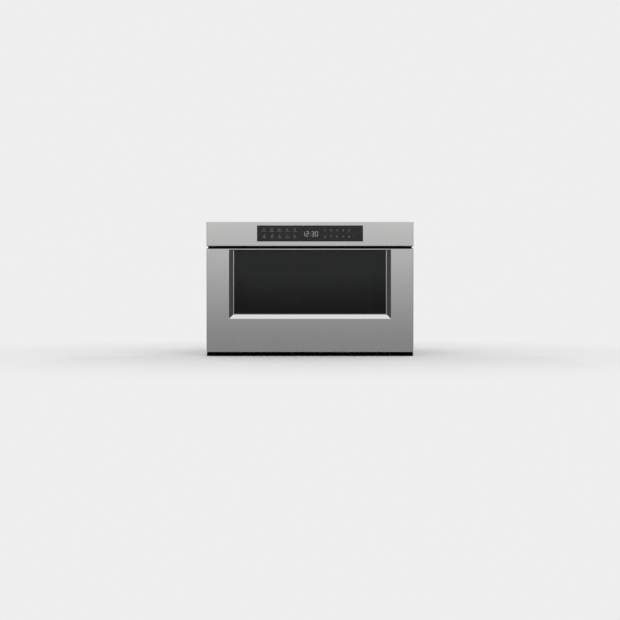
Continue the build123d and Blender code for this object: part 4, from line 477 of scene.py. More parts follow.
def window_glass(s):
    """Dark window, polished, with the screen's dots behind it painted into its colour. Its colour holds
    painted light: it gets paler upwards, and the uppermost dots are painted paler, as if lit from above.
    """
    glass = Finish("Window glass", toned(s.glass_tint, s.glass_painted_foot), 0.035, IOR=1.34)
    height = coordinate(glass.tree, 2)
    # Painted light: the colour gets paler towards the top
    body = spread(glass.tree, height, *GLASS_PAINTED_LIGHT, s.glass_painted_foot, s.glass_painted_top)
    # Painted light on the uppermost dots
    dots = spread(glass.tree, height, *DOTS_PAINTED_LIGHT, s.dot_level, s.dot_painted_light)
    dots = calc(glass.tree, "MULTIPLY", glass.effect("dots")["Dot"], dots)
    pale = calc(glass.tree, "ADD", body, dots)
    glass.feed("Base Color", tones(glass.tree, pale, s.glass_tint, 0.0, 1.0))
    glass.rough(glass.effect("handling", Scale=5.0)["Patch"], 0.025, 0.05)
    return glass.material


def touch_glass(s):
    """Touch panel: dark printed glass, polished, with slight finger haze."""
    glass = Finish("Touch glass", s.panel_colour, 0.07, IOR=1.42)
    patch = glass.effect("handling", Scale=22.0)["Patch"]
    glass.shade(patch, 0.92, 1.08)
    glass.rough(patch, 0.05, 0.11)
    return glass.material


def clear_glass():
    """Clear glass of the drawer's inner pane and the lamp."""
    glass = Finish("Clear glass", (0.93, 0.96, 0.95), 0.02, IOR=1.5, Transmission_Weight=1.0)
    glass.rough(glass.effect("handling", Scale=12.0)["Patch"], 0.01, 0.05)
    return glass.material


def zinc_sheet(s):
    """Plated steel sheet with its crystals and dull patches."""
    zinc = Finish("Zinc sheet", s.zinc_colour, 0.42, Metallic=1.0)
    crystals = zinc.effect("spangle", Scale=150.0)
    patch = zinc.effect("handling", Scale=6.0)["Patch"]
    zinc.shade(weighted(zinc.tree, crystals["Shade"], patch, 0.55), 0.86, 1.10)
    zinc.rough(crystals["Shade"], 0.34, 0.50)
    zinc.bump(crystals["Height"], 0.08, 0.05 * MM)
    return zinc.material


def machined_steel():
    """Drawn steel of the slides and the shaft, with lengthwise drawing lines."""
    steel = Finish("Drawn steel", (0.50, 0.50, 0.50), 0.26, Metallic=1.0)
    drawn = steel.effect("grain", Stretch=(900.0, 6.0, 900.0))
    steel.shade(drawn["Shade"], 0.88, 1.10)
    steel.rough(drawn["Shade"], 0.20, 0.34)
    steel.bump(drawn["Height"], 0.06, 0.03 * MM)
    return steel.material


def ball_steel():
    """Polished bearing steel with a thin film of grease."""
    steel = Finish("Ball steel", (0.62, 0.62, 0.61), 0.08, Metallic=1.0)
    grease = steel.effect("handling", Scale=260.0)["Patch"]
    steel.shade(grease, 1.0, 0.85)
    steel.rough(grease, 0.06, 0.30)
    return steel.material


def aluminium():
    """Pressed aluminium of the antenna, the magnetron and the capacitor's can."""
    metal = Finish("Pressed aluminium", (0.72, 0.73, 0.74), 0.33, Metallic=1.0)
    metal.shade(metal.effect("handling", Scale=35.0)["Patch"], 0.90, 1.05)
    metal.rough(metal.effect("grain", Stretch=(6.0, 900.0, 900.0))["Shade"], 0.26, 0.42)
    return metal.material


def grey_enamel(s):
    """Sprayed grey enamel of the cavity, the tub and the door's back."""
    enamel = Finish("Grey enamel", s.enamel_colour, 0.34, Coat_Weight=0.2, Coat_Roughness=0.15)
    peel = enamel.effect("peel")
    enamel.shade(peel["Speck"], 1.0, 0.72)
    enamel.rough(enamel.effect("handling", Scale=4.0)["Patch"], 0.29, 0.40)
    enamel.bump(peel["Height"], 0.10, 0.08 * MM)
    return enamel.material


def black_enamel():
    """Black paint of the front frame and the drive motor, with its ripples and rubbed patches. On the front
    frame the black is also painted shade, darkening the deep gap between the fascia and the door.
    """
    paint = Finish("Black enamel", (0.003, 0.003, 0.0033), 0.55, Specular_IOR_Level=0.25)
    patch = paint.effect("handling", Scale=8.0)["Patch"]
    paint.shade(patch, 1.0, 1.8)
    paint.rough(patch, 0.48, 0.62)
    paint.bump(paint.effect("peel", Ripple=600.0)["Height"], 0.10, 0.06 * MM)
    return paint.material


def moulded_plastic(name, rgb, roughness, gloss=0.5):
    """Moulded plastic with its eroded grain and slow sink marks."""
    plastic = Finish(name, rgb, roughness, Specular_IOR_Level=gloss)
    skin = plastic.effect("moulded")
    plastic.shade(skin["Sink"], 0.90, 1.12)
    plastic.rough(skin["Sink"], roughness - 0.05, roughness + 0.06)
    plastic.bump(skin["Height"], 0.12, 0.05 * MM)
    return plastic.material


def glass_ceramic():
    """Tub floor: smooth pale glass-ceramic with a very faint cloud."""
    tray = Finish(
        "Glass ceramic", (0.66, 0.66, 0.64), 0.12, IOR=1.54,
        Subsurface_Weight=0.15, Subsurface_Radius=(0.004, 0.004, 0.003))
    cloud = tray.effect("handling", Scale=14.0)["Patch"]
    tray.shade(cloud, 0.97, 1.03)
    tray.rough(cloud, 0.09, 0.16)
    return tray.material


def mica_sheet():
    """Pressed mica of the antenna's cover, flaky and pale brown."""
    mica = Finish("Pressed mica", (0.46, 0.40, 0.30), 0.38)
    flakes = mica.effect("spangle", Scale=420.0)
    mica.shade(flakes["Shade"], 0.82, 1.18)
    mica.rough(flakes["Shade"], 0.28, 0.48)
    mica.bump(flakes["Height"], 0.10, 0.05 * MM)
    return mica.material


def copper_winding(s):
    """Turns of enamelled wire, 1 mm apart up the coil, with painted shade in the grooves between turns."""
    wire = Finish("Enamelled wire", s.copper_colour, 0.28, Metallic=1.0, Coat_Weight=0.5)
    phase = calc(wire.tree, "MULTIPLY", coordinate(wire.tree, 2), np.pi / MM)
    turns = calc(wire.tree, "ABSOLUTE", calc(wire.tree, "SINE", phase))
    # Painted shade: the colour darkens in the grooves between turns
    wire.shade(turns, 0.45, 1.0)
    wire.rough(turns, 0.5, 0.24)
    wire.bump(turns, 0.7, 0.4 * MM)
    return wire.material


def lamination():
    """Varnished iron sheets, half a millimetre thick, stacked along the depth."""
    iron = Finish("Varnished laminations", (0.10, 0.09, 0.085), 0.5, Metallic=0.6)
    sheets = calc(iron.tree, "FRACT", calc(iron.tree, "MULTIPLY", coordinate(iron.tree, 1), 2.0 / MM))
    seam = spread(iron.tree, sheets, 0.0, 0.25, 0.0, 1.0)
    iron.shade(seam, 0.4, 1.0)
    iron.rough(seam, 0.8, 0.45)
    iron.bump(seam, 0.3, 0.1 * MM)
    return iron.material


def circuit_board(name, axis, start, end):
    """Solder resist over stepped copper tracks on the board, and dark cases on what stands on it.

    The board lies between two places on one axis. Everything before and behind it is a part.
    """
    resist, case = (0.02, 0.11, 0.05), (0.03, 0.03, 0.035)
    board = Finish(name, resist, 0.32)
    squares = cells(board.tree, 160.0, distance="CHEBYCHEV")["Distance"]
    track = spread(board.tree, squares, 0.42, 0.46, 0.0, 1.0)
    skin = 0.1 * MM
    on_board = between(board.tree, coordinate(board.tree, axis), start - skin, end + skin)
    printed = tones(board.tree, track, resist, 1.0, 2.2)
    cased = tones(board.tree, board.effect("handling", Scale=120.0)["Patch"], case, 1.0, 1.6)
    board.feed("Base Color", blend_colour(board.tree, on_board, cased, printed))
    board.rough(on_board, 0.5, 0.28)
    board.bump(calc(board.tree, "MULTIPLY", track, on_board), 0.2, 0.04 * MM)
    return board.material


def perforated_screen():
    """Black painted screen with a square field of small holes."""
    screen = Finish("Perforated screen", (0.05, 0.05, 0.05), 0.5)
    holes = screen.effect("dots", Half_width=0.19, Low=0.13, High=0.25)["Dot"]
    screen.shade(holes, 1.0, 0.12)
    screen.rough(holes, 0.45, 0.9)
    return screen.material


def sealant():
    """Grey silicone, smoothed with a finger."""
    silicone = Finish("Sealant", (0.17, 0.17, 0.175), 0.38)
    smears = silicone.effect("handling", Scale=60.0)["Patch"]
    silicone.shade(smears, 0.9, 1.1)
    silicone.rough(smears, 0.30, 0.46)
    return silicone.material


def key_print(s):
    """Grey ceramic ink of the keys, slightly uneven."""
    ink = Finish("Key print", s.legend_colour, 0.55)
    ink.shade(ink.effect("handling", Scale=500.0)["Patch"], 0.9, 1.1)
    return ink.material


def clock_glow(s):
    """Lit segments of the clock, a little uneven along each segment."""
    clock = Finish("Clock glow", s.clock_colour, 0.5, Emission_Strength=s.clock_strength)
    patch = clock.effect("handling", Scale=300.0)["Patch"]
    clock.feed("Emission Color", tones(clock.tree, patch, s.clock_colour, 0.85, 1.0))
    return clock.material


# ---- Surfaces --------------------------------------------------------------------------------
def link_object(name, data):
    """Object that holds a mesh, a light or a camera, in the scene."""
    made = bpy.data.objects.new(name, data)
    bpy.context.scene.collection.objects.link(made)
    return made


def make_piece(name, parts, material, body, smooth_angle=None):
    """Object from parts, each a pair of points and faces, with faces numbered inside their part."""
    faces = []
    start = 0
    for points, part_faces in parts:
        faces += [(face + start).tolist() for face in part_faces]
        start += len(points)
    mesh = bpy.data.meshes.new(name)
    mesh.from_pydata(np.concatenate([points for points, _ in parts]).tolist(), [], faces)
    mesh.validate()
    mesh.materials.append(material)
    if smooth_angle is not None:
        mesh.shade_smooth()
        mesh.set_sharp_from_angle(angle=np.radians(smooth_angle))
    piece = link_object(name, mesh)
    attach(piece, body)
    return piece


def loft(rings, ends=True):
    """Skin over rings of equally many points, from the first ring to the last, with or without flat ends.

    Point (i, j) of the grid is point j of ring i. The faces join (i, j), (i, j + 1), (i + 1, j + 1)
    and (i + 1, j), where j wraps round.
    """
    rings = np.asarray(rings, float)
    count, sides = rings.shape[:2]
    index = np.arange(count * sides).reshape(count, sides)
    following = np.roll(index, -1, axis=1)
    faces = list(np.stack([index[:-1], following[:-1], following[1:], index[1:]], axis=-1).reshape(-1, 4))
    if ends:
        faces += [index[0][::-1], index[-1]]
    return rings.reshape(-1, 3), faces


def facing_out(part):
    """The part with its faces turned so that the enclosed volume is positive.

    The volume is a sixth of the sum, over each face's fan of triangles, of the triple product of the corners.
    """
    points, faces = part
    volume = 0.0
    for sides in {len(face) for face in faces}:
        corners = points[np.array([face for face in faces if len(face) == sides])]
        volume += (corners[:, :1] * np.cross(corners[:, 1:-1], corners[:, 2:])).sum()
    if volume < 0:
        faces = [face[::-1] for face in faces]
    return points, faces


def turned(profile, sides):
    """Ring for each (radius, height) of a profile, at angles evenly spaced round the Z axis."""
    angle = np.linspace(0, 2 * np.pi, sides, endpoint=False)
    radius, height = np.array(profile).T[:, :, None]
    across, along = radius * np.cos(angle), radius * np.sin(angle)
    return np.stack([across, along, np.broadcast_to(height, across.shape)], axis=-1)


def hexagon_share(sides):
    """Radius of a hexagon of unit corner radius at evenly spaced angles: cos 30 / cos(a mod 60 - 30)."""
    angle = np.linspace(0, 2 * np.pi, sides, endpoint=False)
    return np.cos(np.pi / 6) / np.cos(angle % (np.pi / 3) - np.pi / 6)


def screw_head(s):
    """Hexagon washer head: a turned flange, six flats, a chamfered top and a shallow dish."""
    radius, corner, height = s.screw_radius, s.screw_hex, s.screw_height
    flange = [(radius * 0.9, 0.0), (radius, height * 0.15), (radius * 0.95, height * 0.30)]
    flats = [(corner, height * 0.36), (corner, height * 0.86)]
    top = [(corner * 0.84, height), (corner * 0.6, height), (corner * 0.3, height * 0.85)]
    rings = turned(flange + flats + top, 24)
    rings[3:5, :, :2] *= hexagon_share(24)[None, :, None]
    return facing_out(loft(rings))


def turn_to(part, axis):
    """The part with its Z axis turned to one of four directions, such as '+Y'."""
    points, faces = part
    x, y, z = points.T
    turns = {"+X": (z, y, -x), "-X": (-z, y, x), "+Y": (x, z, -y), "+Z": (x, y, z)}
    return np.stack(turns[axis], axis=-1), faces


def copies(part, places):
    """The part at each place."""
    points, faces = part
    return [(points + np.asarray(place), faces) for place in places]


def inset_row(box, axis, inset, count=2):
    """Evenly spaced places along one side of a box, the outer two set in from its ends."""
    return np.linspace(box[0][axis] + inset, box[1][axis] - inset, count)


def carried(path, profile, closed=False, upright=False):
    """Profile carried along a path, at right angles to it, with mitred corners.

    The path lies level, as (x, y) points, or upright, as (x, z) points. Point (i, j) is path point i,
    plus profile point j's first number along the path's left-hand normal, plus its second number on the
    third axis. The normal at a corner is the sum of its two sides' normals over one plus their product.
    """
    path = np.asarray(path, float)
    profile = np.asarray(profile, float)
    before = np.roll(path, 1, axis=0)
    after = np.roll(path, -1, axis=0)
    if not closed:
        before[0] = 2 * path[0] - path[1]
        after[-1] = 2 * path[-1] - path[-2]
    normals = []
    for step in (path - before, after - path):
        step /= np.linalg.norm(step, axis=1, keepdims=True)
        normals.append(np.stack([-step[:, 1], step[:, 0]], axis=-1))
    mitre = (normals[0] + normals[1]) / (1 + (normals[0] * normals[1]).sum(1, keepdims=True))
    flat = path[:, None, :] + mitre[:, None, :] * profile[None, :, :1]
    third = np.broadcast_to(profile[None, :, 1:], (*flat.shape[:2], 1))
    rings = np.concatenate([flat, third], axis=-1)
    if upright:
        rings = rings[..., [0, 2, 1]]
    if closed:
        rings = np.concatenate([rings, rings[:1]])
    return facing_out(loft(rings, ends=not closed))


def stroke(path, width, front, depth, closed=False):
    """Rectangular line along a path of (x, z) points on a face that looks to -Y."""
    half, back = width / 2, front + depth
    profile = [(half, front), (-half, front), (-half, back), (half, back)]
    return carried(path, profile, closed, upright=True)


def stood(outline, y):
    """Outline of (x, z) points stood upright at one depth."""
    outline = np.asarray(outline, float)
    return np.stack([outline[:, 0], np.full(len(outline), y), outline[:, 1]], axis=-1)


def plate(outline, front, depth):
    """Flat plate with an outline of (x, z) points on a face that looks to -Y."""
    return facing_out(loft([stood(outline, front), stood(outline, front + depth)]))


def arc(radius, start, end, count=24, centre=(0.0, 0.0)):
    """Points of a circular arc between two angles in degrees."""
    angle = np.radians(np.linspace(start, end, count))
    return np.stack([centre[0] + radius * np.cos(angle), centre[1] + radius * np.sin(angle)], axis=-1)


def circle(radius, centre=(0.0, 0.0)):
    """Closed circle of points."""
    return arc(radius, 0, 345, 24, centre)


def rectangle(half_x, half_z, corner):
    """Closed rectangle with round corners: a quarter circle about each of the four corner centres."""
    points = []
    for turn, sign_x, sign_z in ((0, 1, 1), (90, -1, 1), (180, -1, -1), (270, 1, -1)):
        centre = (sign_x * (half_x - corner), sign_z * (half_z - corner))
        points.append(arc(corner, turn, turn + 90, 6, centre))
    return np.concatenate(points)


def tub_path(half, front, back, corner):
    """Plan of the tub: up the left side, round the two back corners and down the right side."""
    left = arc(corner, 180, 90, 9, (-half + corner, back - corner))
    right = arc(corner, 90, 0, 9, (half - corner, back - corner))
    return np.concatenate([[(-half, front)], left, right, [(half, front)]])


# ---- Icons of the keys: unit shapes, one high, each a list of (path, closed) -------------------
def wave(x, low, high, swing, turns, count):
    """Upright wave: x plus a sine of the height."""
    height = np.linspace(low, high, count)
    return np.stack([x + swing * np.sin(height * 2 * turns * np.pi), height], axis=-1), False


def icon_heat():
    """Three rising waves."""
    return [wave(x, -0.5, 0.5, 0.09, 1, 15) for x in (-0.32, 0.0, 0.32)]


def icon_timer():
    """Dial with two hands."""
    return [(circle(0.5), True), ([(0, 0.30), (0, 0), (0.22, -0.12)], False)]


def icon_bowl():
    """Bowl under two waves."""
    waves = [wave(x, 0.05, 0.5, 0.06, 2, 9) for x in (-0.2, 0.2)]
    return waves + [(arc(0.5, 180, 360, 15, (0, -0.05)), True)]


def icon_frost():
    """Six-pointed star of three lines."""
    return [(arc(0.5, turn, turn + 180, 2), False) for turn in (30, 90, 150)]


def icon_cup():
    """Cup with a handle."""
    cup = [(-0.4, 0.35), (-0.3, -0.4), (0.2, -0.4), (0.3, 0.35)]
    return [(cup, True), (arc(0.2, -70, 70, 9, (0.27, 0.0)), False)]


def icon_lock():
    """Padlock."""
    body = rectangle(0.36, 0.24, 0.05) + np.array([0, -0.24])
    return [(body, True), (arc(0.22, 0, 180, 13, (0, 0.05)), False)]


def icon_open():
    """Tray with an arrow that points out of it."""
    tray = [(-0.5, 0.0), (-0.5, -0.45), (0.5, -0.45), (0.5, 0.0)]
    return [(tray, False), ([(0, -0.2), (0, 0.5)], False), ([(-0.2, 0.28), (0, 0.5), (0.2, 0.28)], False)]


def icon_start():
    """Triangle that points right."""
    return [([(-0.35, -0.45), (0.45, 0.0), (-0.35, 0.45)], True)]


def icon_stop():
    """Square."""
    return [(rectangle(0.4, 0.4, 0.04), True)]


def icon_level():
    """Five rising bars."""
    return [([(x, -0.45), (x, -0.15 + 1.2 * (x + 0.5))], False) for x in (-0.44, -0.22, 0.0, 0.22, 0.44)]


ICONS = (
    (icon_heat, icon_timer, icon_bowl, icon_frost, icon_cup),
    (icon_lock, icon_level, icon_open, icon_stop, icon_start),
)
SEGMENTS = {"0": "abcdef", "1": "bc", "2": "abged", "3": "abgcd"}
CLOCK_DIGITS = "1230"
CLOCK_STEPS = (-1.7, -0.7, 0.7, 1.7)  # places of the digits' middles, in steps from one digit to the next
CLOCK_SPAN = 4.4  # width of the whole clock in those steps


def segment(name, height, thick):
    """Six-sided bar of a seven-segment digit: a bar with pointed ends, upright or level."""
    half = height / 2
    reach = height * 0.25
    level = {"a": half, "g": 0.0, "d": -half}
    upright = {
        "b": (reach, half / 2), "c": (reach, -half / 2), "f": (-reach, half / 2), "e": (-reach, -half / 2)}
    run = (reach if name in level else half / 2) - thick * 0.15
    across = thick / 2
    flat = run - across
    bar = np.array([(-run, 0), (-flat, across), (flat, across), (run, 0), (flat, -across), (-flat, -across)])
    if name in level:
        return bar + np.array([0, level[name]])
    return bar[:, ::-1] + np.array(upright[name])


# ---- Operators -------------------------------------------------------------------------------
materials = {}


def node_box(name):
    """Lowest and highest corner of a CAD node as arrays."""
    low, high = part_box(name)
    return np.array(low), np.array(high)


def dress(material, names):
    """Give a finish to CAD nodes."""
    for name in names:
        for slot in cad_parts[name].material_slots:
            slot.material = material


class DrawerOperator:
    """Common parts of the operators, which end or raise."""

    bl_options = {"REGISTER", "UNDO"}

    def settings(self, context):
        """The scene's settings for the drawer."""
        return context.scene.microwave_drawer


class MWD_OT_stage(DrawerOperator, bpy.types.Operator):
    """Round pale floor, soft lamp, reflection card and flags, world and level camera"""

    bl_idname = "mwd.stage"
    bl_label = "Stage"

    def execute(self, context):
        """Build the stage."""
        s = self.settings(context).stage
        scene = context.scene
        scene.view_settings.view_transform = "Standard"
        self.world(scene, s)
        self.floor(s)
        self.card(s)
        self.flags(s)
        self.lamp(s)
        self.camera(scene, s)
        return {"FINISHED"}

    def world(self, scene, s):
        """Even sky for matt surfaces. The camera, metal and glass see the backdrop's colour."""
        world = bpy.data.worlds.new("Room")
        world.use_nodes = True
        scene.world = world
        tree = world.node_tree
        background = tree.nodes["Background"].inputs
        seen = seen_ray(tree)
        white = opaque((1.0, 1.0, 1.0))
        tree.links.new(blend_colour(tree, seen, white, opaque(s.backdrop_colour)), background["Color"])
        tree.links.new(spread(tree, seen, 0.0, 1.0, s.sky_light, 1.0), background["Strength"])

    def staged(self, name, points, faces, material):
        """Surface that belongs to the stage and not to the drawer."""
        mesh = bpy.data.meshes.new(name)
        mesh.from_pydata(points, [], faces)
        mesh.materials.append(material)
        link_object(name, mesh)

    def floor(self, s):
        """Round floor that keeps the shadow near the drawer and fades into the backdrop far away."""
        rings = turned([(radius, 0.0) for radius in (0.001, 1.0, 3.0, s.floor_radius)], 64)
        points, faces = loft(rings, ends=False)
        pale = Finish("Pale floor", s.floor_colour, 0.65)
        tree = pale.tree
        away = put(tree, "ShaderNodeVectorMath", {0: object_place(tree)}, operation="LENGTH").outputs["Value"]
        glow = put(tree, "ShaderNodeEmission", {"Color": opaque(s.backdrop_colour)})
        fade = calc(tree, "MULTIPLY", spread(tree, away, s.fade_start, s.fade_end, 0.0, 1.0), seen_ray(tree))
        both = put(tree, "ShaderNodeMixShader", {0: fade, 1: pale.shader.outputs[0], 2: glow.outputs[0]})
        tree.links.new(both.outputs[0], tree.nodes["Material Output"].inputs["Surface"])
        self.staged("floor", points.tolist(), [face.tolist() for face in faces], pale.material)

    def card(self, s):
        """Upright card that only reflections see, dark at its foot and bright above."""
        y = FRONT - s.card_distance
        x = s.card_half_width
        corners = [(-x, y, OFF_FLOOR), (x, y, OFF_FLOOR), (x, y, s.card_top), (-x, y, s.card_top)]
        slope = (0.0, s.card_high, s.card_dark, s.card_bright)
        foot = (s.card_foot, s.card_foot + s.card_rise, 0.0, s.card_bright)
        self.glowing("reflection_card", corners, (slope, foot), s)

    def flags(self, s):
        """Dark flags on the floor in front and on both sides, which only reflections see."""
        near, far = FRONT - s.card_distance, FRONT + s.flag_back
        x = s.card_half_width
        corners = [(-x, near, OFF_FLOOR), (x, near, OFF_FLOOR), (x, FRONT, OFF_FLOOR), (-x, FRONT, OFF_FLOOR)]
        self.glowing("floor_flag", corners, ((0.0, 1.0, s.floor_flag, s.floor_flag),), s)
        for name, x in (("left_flag", -s.flag_distance), ("right_flag", s.flag_distance)):
            corners = [(x, near, OFF_FLOOR), (x, far, OFF_FLOOR), (x, far, s.flag_top), (x, near, s.flag_top)]
            self.glowing(name, corners, ((0.0, 1.0, s.flag_level, s.flag_level),), s)

    def glowing(self, name, corners, slopes, s):
        """Sheet that only reflections see, fading out at the back.

        Its glow goes with its height: the least of the slopes, each of which is two heights and two levels.
        """
        material = bpy.data.materials.new(name)
        material.use_nodes = True
        tree = material.node_tree
        tree.nodes.clear()
        height = coordinate(tree, 2)
        level = spread(tree, height, *slopes[0])
        for slope in slopes[1:]:
            level = calc(tree, "MINIMUM", level, spread(tree, height, *slope))
        back = FRONT + s.flag_back
        fade = spread(tree, coordinate(tree, 1), back - s.flag_fade, back, 1.0, 0.0)
        reflected = put(tree, "ShaderNodeLightPath").outputs["Is Glossy Ray"]
        there = calc(tree, "MULTIPLY", reflected, fade)
        glow = put(tree, "ShaderNodeEmission", {"Strength": level})
        clear = put(tree, "ShaderNodeBsdfTransparent")
        both = put(tree, "ShaderNodeMixShader", {0: there, 1: clear.outputs[0], 2: glow.outputs[0]})
        put(tree, "ShaderNodeOutputMaterial", {"Surface": both.outputs[0]})
        self.staged(name, corners, [(0, 1, 2, 3)], material)

    def lamp(self, s):
        """Square soft lamp overhead, in front of the drawer."""
        light = bpy.data.lights.new("soft_lamp", "AREA")
        light.energy = s.lamp_power
        light.size = s.lamp_size
        link_object("soft_lamp", light).location = (0.0, FRONT - s.lamp_forward, s.lamp_height)

    def camera(self, scene, s):
        """Level camera, square on to the front."""
        view = bpy.data.cameras.new("camera")
        view.sensor_width = CAMERA_SENSOR
        view.lens = CAMERA_SENSOR * s.camera_distance / s.view_width
        scene.camera = link_object("camera", view)
        scene.camera.location = (0.0, FRONT - s.camera_distance, s.camera_height)
        scene.camera.rotation_euler = (np.pi / 2, 0.0, 0.0)


class MWD_OT_front_finishes(DrawerOperator, bpy.types.Operator):
    """Stainless skins, window, vent strip and the frame behind them"""

    bl_idname = "mwd.front_finishes"
    bl_label = "Front finishes"

    def execute(self, context):
        """Dress the nodes of the front."""
        s = self.settings(context).finish
        window, front = node_box("window_bezel")[1], node_box("front_panel")[1]
        # Top edges of the window and of the door, along which the front gets a dark line of painted shade
        edges = ((window[2], window[0] - WINDOW_FLANGE), (front[2], front[0]))
        dress(brushed_stainless(s, edges), ("front_panel", "control_fascia"))
        dress(ground_stainless(s), ("window_bezel",))
        dress(window_glass(s), ("door_glass",))
        dress(perforated_screen(), ("window_screen",))
        # The front frame's black is partly real paint and partly painted shade for the gap between the fascia
        # and the door
        dress(black_enamel(), ("front_frame",))
        materials["black_plastic"] = moulded_plastic("Black plastic", s.black_colour, 0.55, 0.06)
        dress(materials["black_plastic"], (
            "vent_trim", "control_housing", "display_module", "cord_gland", "interlock_switches"))
        return {"FINISHED"}


class MWD_OT_drawer_finishes(DrawerOperator, bpy.types.Operator):
    """Enamel, glass-ceramic and glass of the drawer's inside"""

    bl_idname = "mwd.drawer_finishes"
    bl_label = "Drawer finishes"

    def execute(self, context):
        """Dress the nodes of the drawer and the cavity."""
        materials["enamel"] = grey_enamel(self.settings(context).finish)
        dress(materials["enamel"], ("tub_shell", "cavity_liner", "door_frame"))
        dress(glass_ceramic(), ("ceramic_tray",))
        dress(clear_glass(), ("inner_glass", "oven_lamp"))
        dress(mica_sheet(), ("antenna_cover",))
        grey_plastic = moulded_plastic("Grey plastic", (0.10, 0.10, 0.105), 0.5)
        dress(grey_plastic, ("choke_cover", "exhaust_duct", "fan_blade"))
        return {"FINISHED"}


class MWD_OT_case_finishes(DrawerOperator, bpy.types.Operator):
    """Plated sheet, slides, gears and the parts inside the case"""

    bl_idname = "mwd.case_finishes"
    bl_label = "Case finishes"

    def execute(self, context):
        """Dress the nodes of the case and the mechanism."""
        s = self.settings(context).finish
        materials["zinc"] = zinc_sheet(s)
        materials["steel"] = machined_steel()
        dress(materials["zinc"], (
            "base_plate", "outer_case", "rear_cover", "slide_brackets", "carriage_arm_left",
            "carriage_arm_right", "shaft_bearings", "waveguide", "antenna_motor", "fan_shroud",
            "lamp_holder"))
        dress(materials["steel"], ("drive_shaft",))
        for stage in ("outer", "middle", "inner"):
            dress(materials["steel"], (f"slide_{stage}_left", f"slide_{stage}_right"))
        dress(moulded_plastic("Acetal", s.acetal_colour, 0.36), (
            "rack_left", "rack_right", "rack_pinions", "driven_gear", "motor_pinion", "latch_head",
            "interlock_lever", "interlock_bracket", "thermal_cutouts"))
        dress(aluminium(), ("magnetron", "rotating_antenna", "high_voltage_capacitor"))
        dress(copper_winding(s), ("transformer_windings",))
        dress(lamination(), ("transformer_core", "fan_motor"))
        back = node_box("control_board")[1][1]
        dress(circuit_board("Control board", 1, back - BOARD, back), ("control_board",))
        foot = node_box("noise_filter")[0][2] + BOARD_STANDOFF
        dress(circuit_board("Filter board", 2, foot, foot + BOARD), ("noise_filter",))
        dress(black_enamel(), ("drive_motor",))
        return {"FINISHED"}


class MWD_OT_touch_panel(DrawerOperator, bpy.types.Operator):
    """Touch glass with ground edges that stands for the plain one"""

    bl_idname = "mwd.touch_panel"
    bl_label = "Touch panel"

    def execute(self, context):
        """Build the glass from three rounded rectangles: face, edge and back."""
        s = self.settings(context)
        low, high = node_box("control_glass")
        middle, half = (low + high) / 2, (high - low) / 2
        bevel, corner = 0.7 * MM, 1.0 * MM
        face = low[1] + s.legend.print_depth / 2
        rings = [
            stood(rectangle(half[0] - inset, half[2] - inset, corner) + middle[[0, 2]], y)
            for inset, y in ((bevel, face), (0.0, face + bevel), (0.0, high[1]))]
        pane = facing_out(loft(rings))
        piece = make_piece("touch_glass", [pane], touch_glass(s.finish), "chassis")
        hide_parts("control_glass")
        return {"FINISHED"}


class MWD_OT_window_seal(DrawerOperator, bpy.types.Operator):
    """Black bead on the window's lip, round the glass, which also stands in for the shade along the lip's
    inner edge
    """

    bl_idname = "mwd.window_seal"
    bl_label = "Window seal"

    def execute(self, context):
        """Draw the bead down the lip's left side, along its foot and up its right side."""
        width = self.settings(context).hardware.window_seal
        low, high = node_box("door_glass")
        side = high[0] - GLASS_COVERED + width / 2
        foot = low[2] + GLASS_COVERED - width / 2
        top = node_box("window_bezel")[1][2]
        path = [(-side, top), (-side, foot), (side, foot), (side, top)]
        # The bead is also painted shade: it darkens the lip's inner edge
        bead = stroke(path, width, low[1] - LIP_SHEET - SEAL_DEPTH, SEAL_DEPTH * 0.9)
        make_piece("window_seal", [bead], materials["black_plastic"], "drawer")
        return {"FINISHED"}


class MWD_OT_key_icons(DrawerOperator, bpy.types.Operator):
    """Ten plain icons, each over a short line"""

    bl_idname = "mwd.key_icons"
    bl_label = "Key icons"

    def execute(self, context):
        """Carry the icons' lines over the left part of the touch panel."""
        s = self.settings(context)
        legend = s.legend
        half = legend.bar_length / 2
        materials["print"] = key_print(s.finish)
        parts = []
        for row, icons in enumerate(ICONS):
            z = legend.row_height + (0.5 - row) * legend.row_pitch
            bar_z = z - legend.icon_size * 0.55
            for column, icon in enumerate(icons):
                x = -legend.icon_middle + (column - 2) * legend.icon_pitch
                middle = np.array([x, z + legend.icon_size * 0.3])
                lines = [(middle + np.asarray(path) * legend.icon_size, closed) for path, closed in icon()]
                lines.append(([(x - half, bar_z), (x + half, bar_z)], False))
                for path, closed in lines:
                    parts.append(stroke(path, legend.line_width, FRONT, legend.print_depth, closed))
        make_piece("key_icons", parts, materials["print"], "chassis")
        return {"FINISHED"}


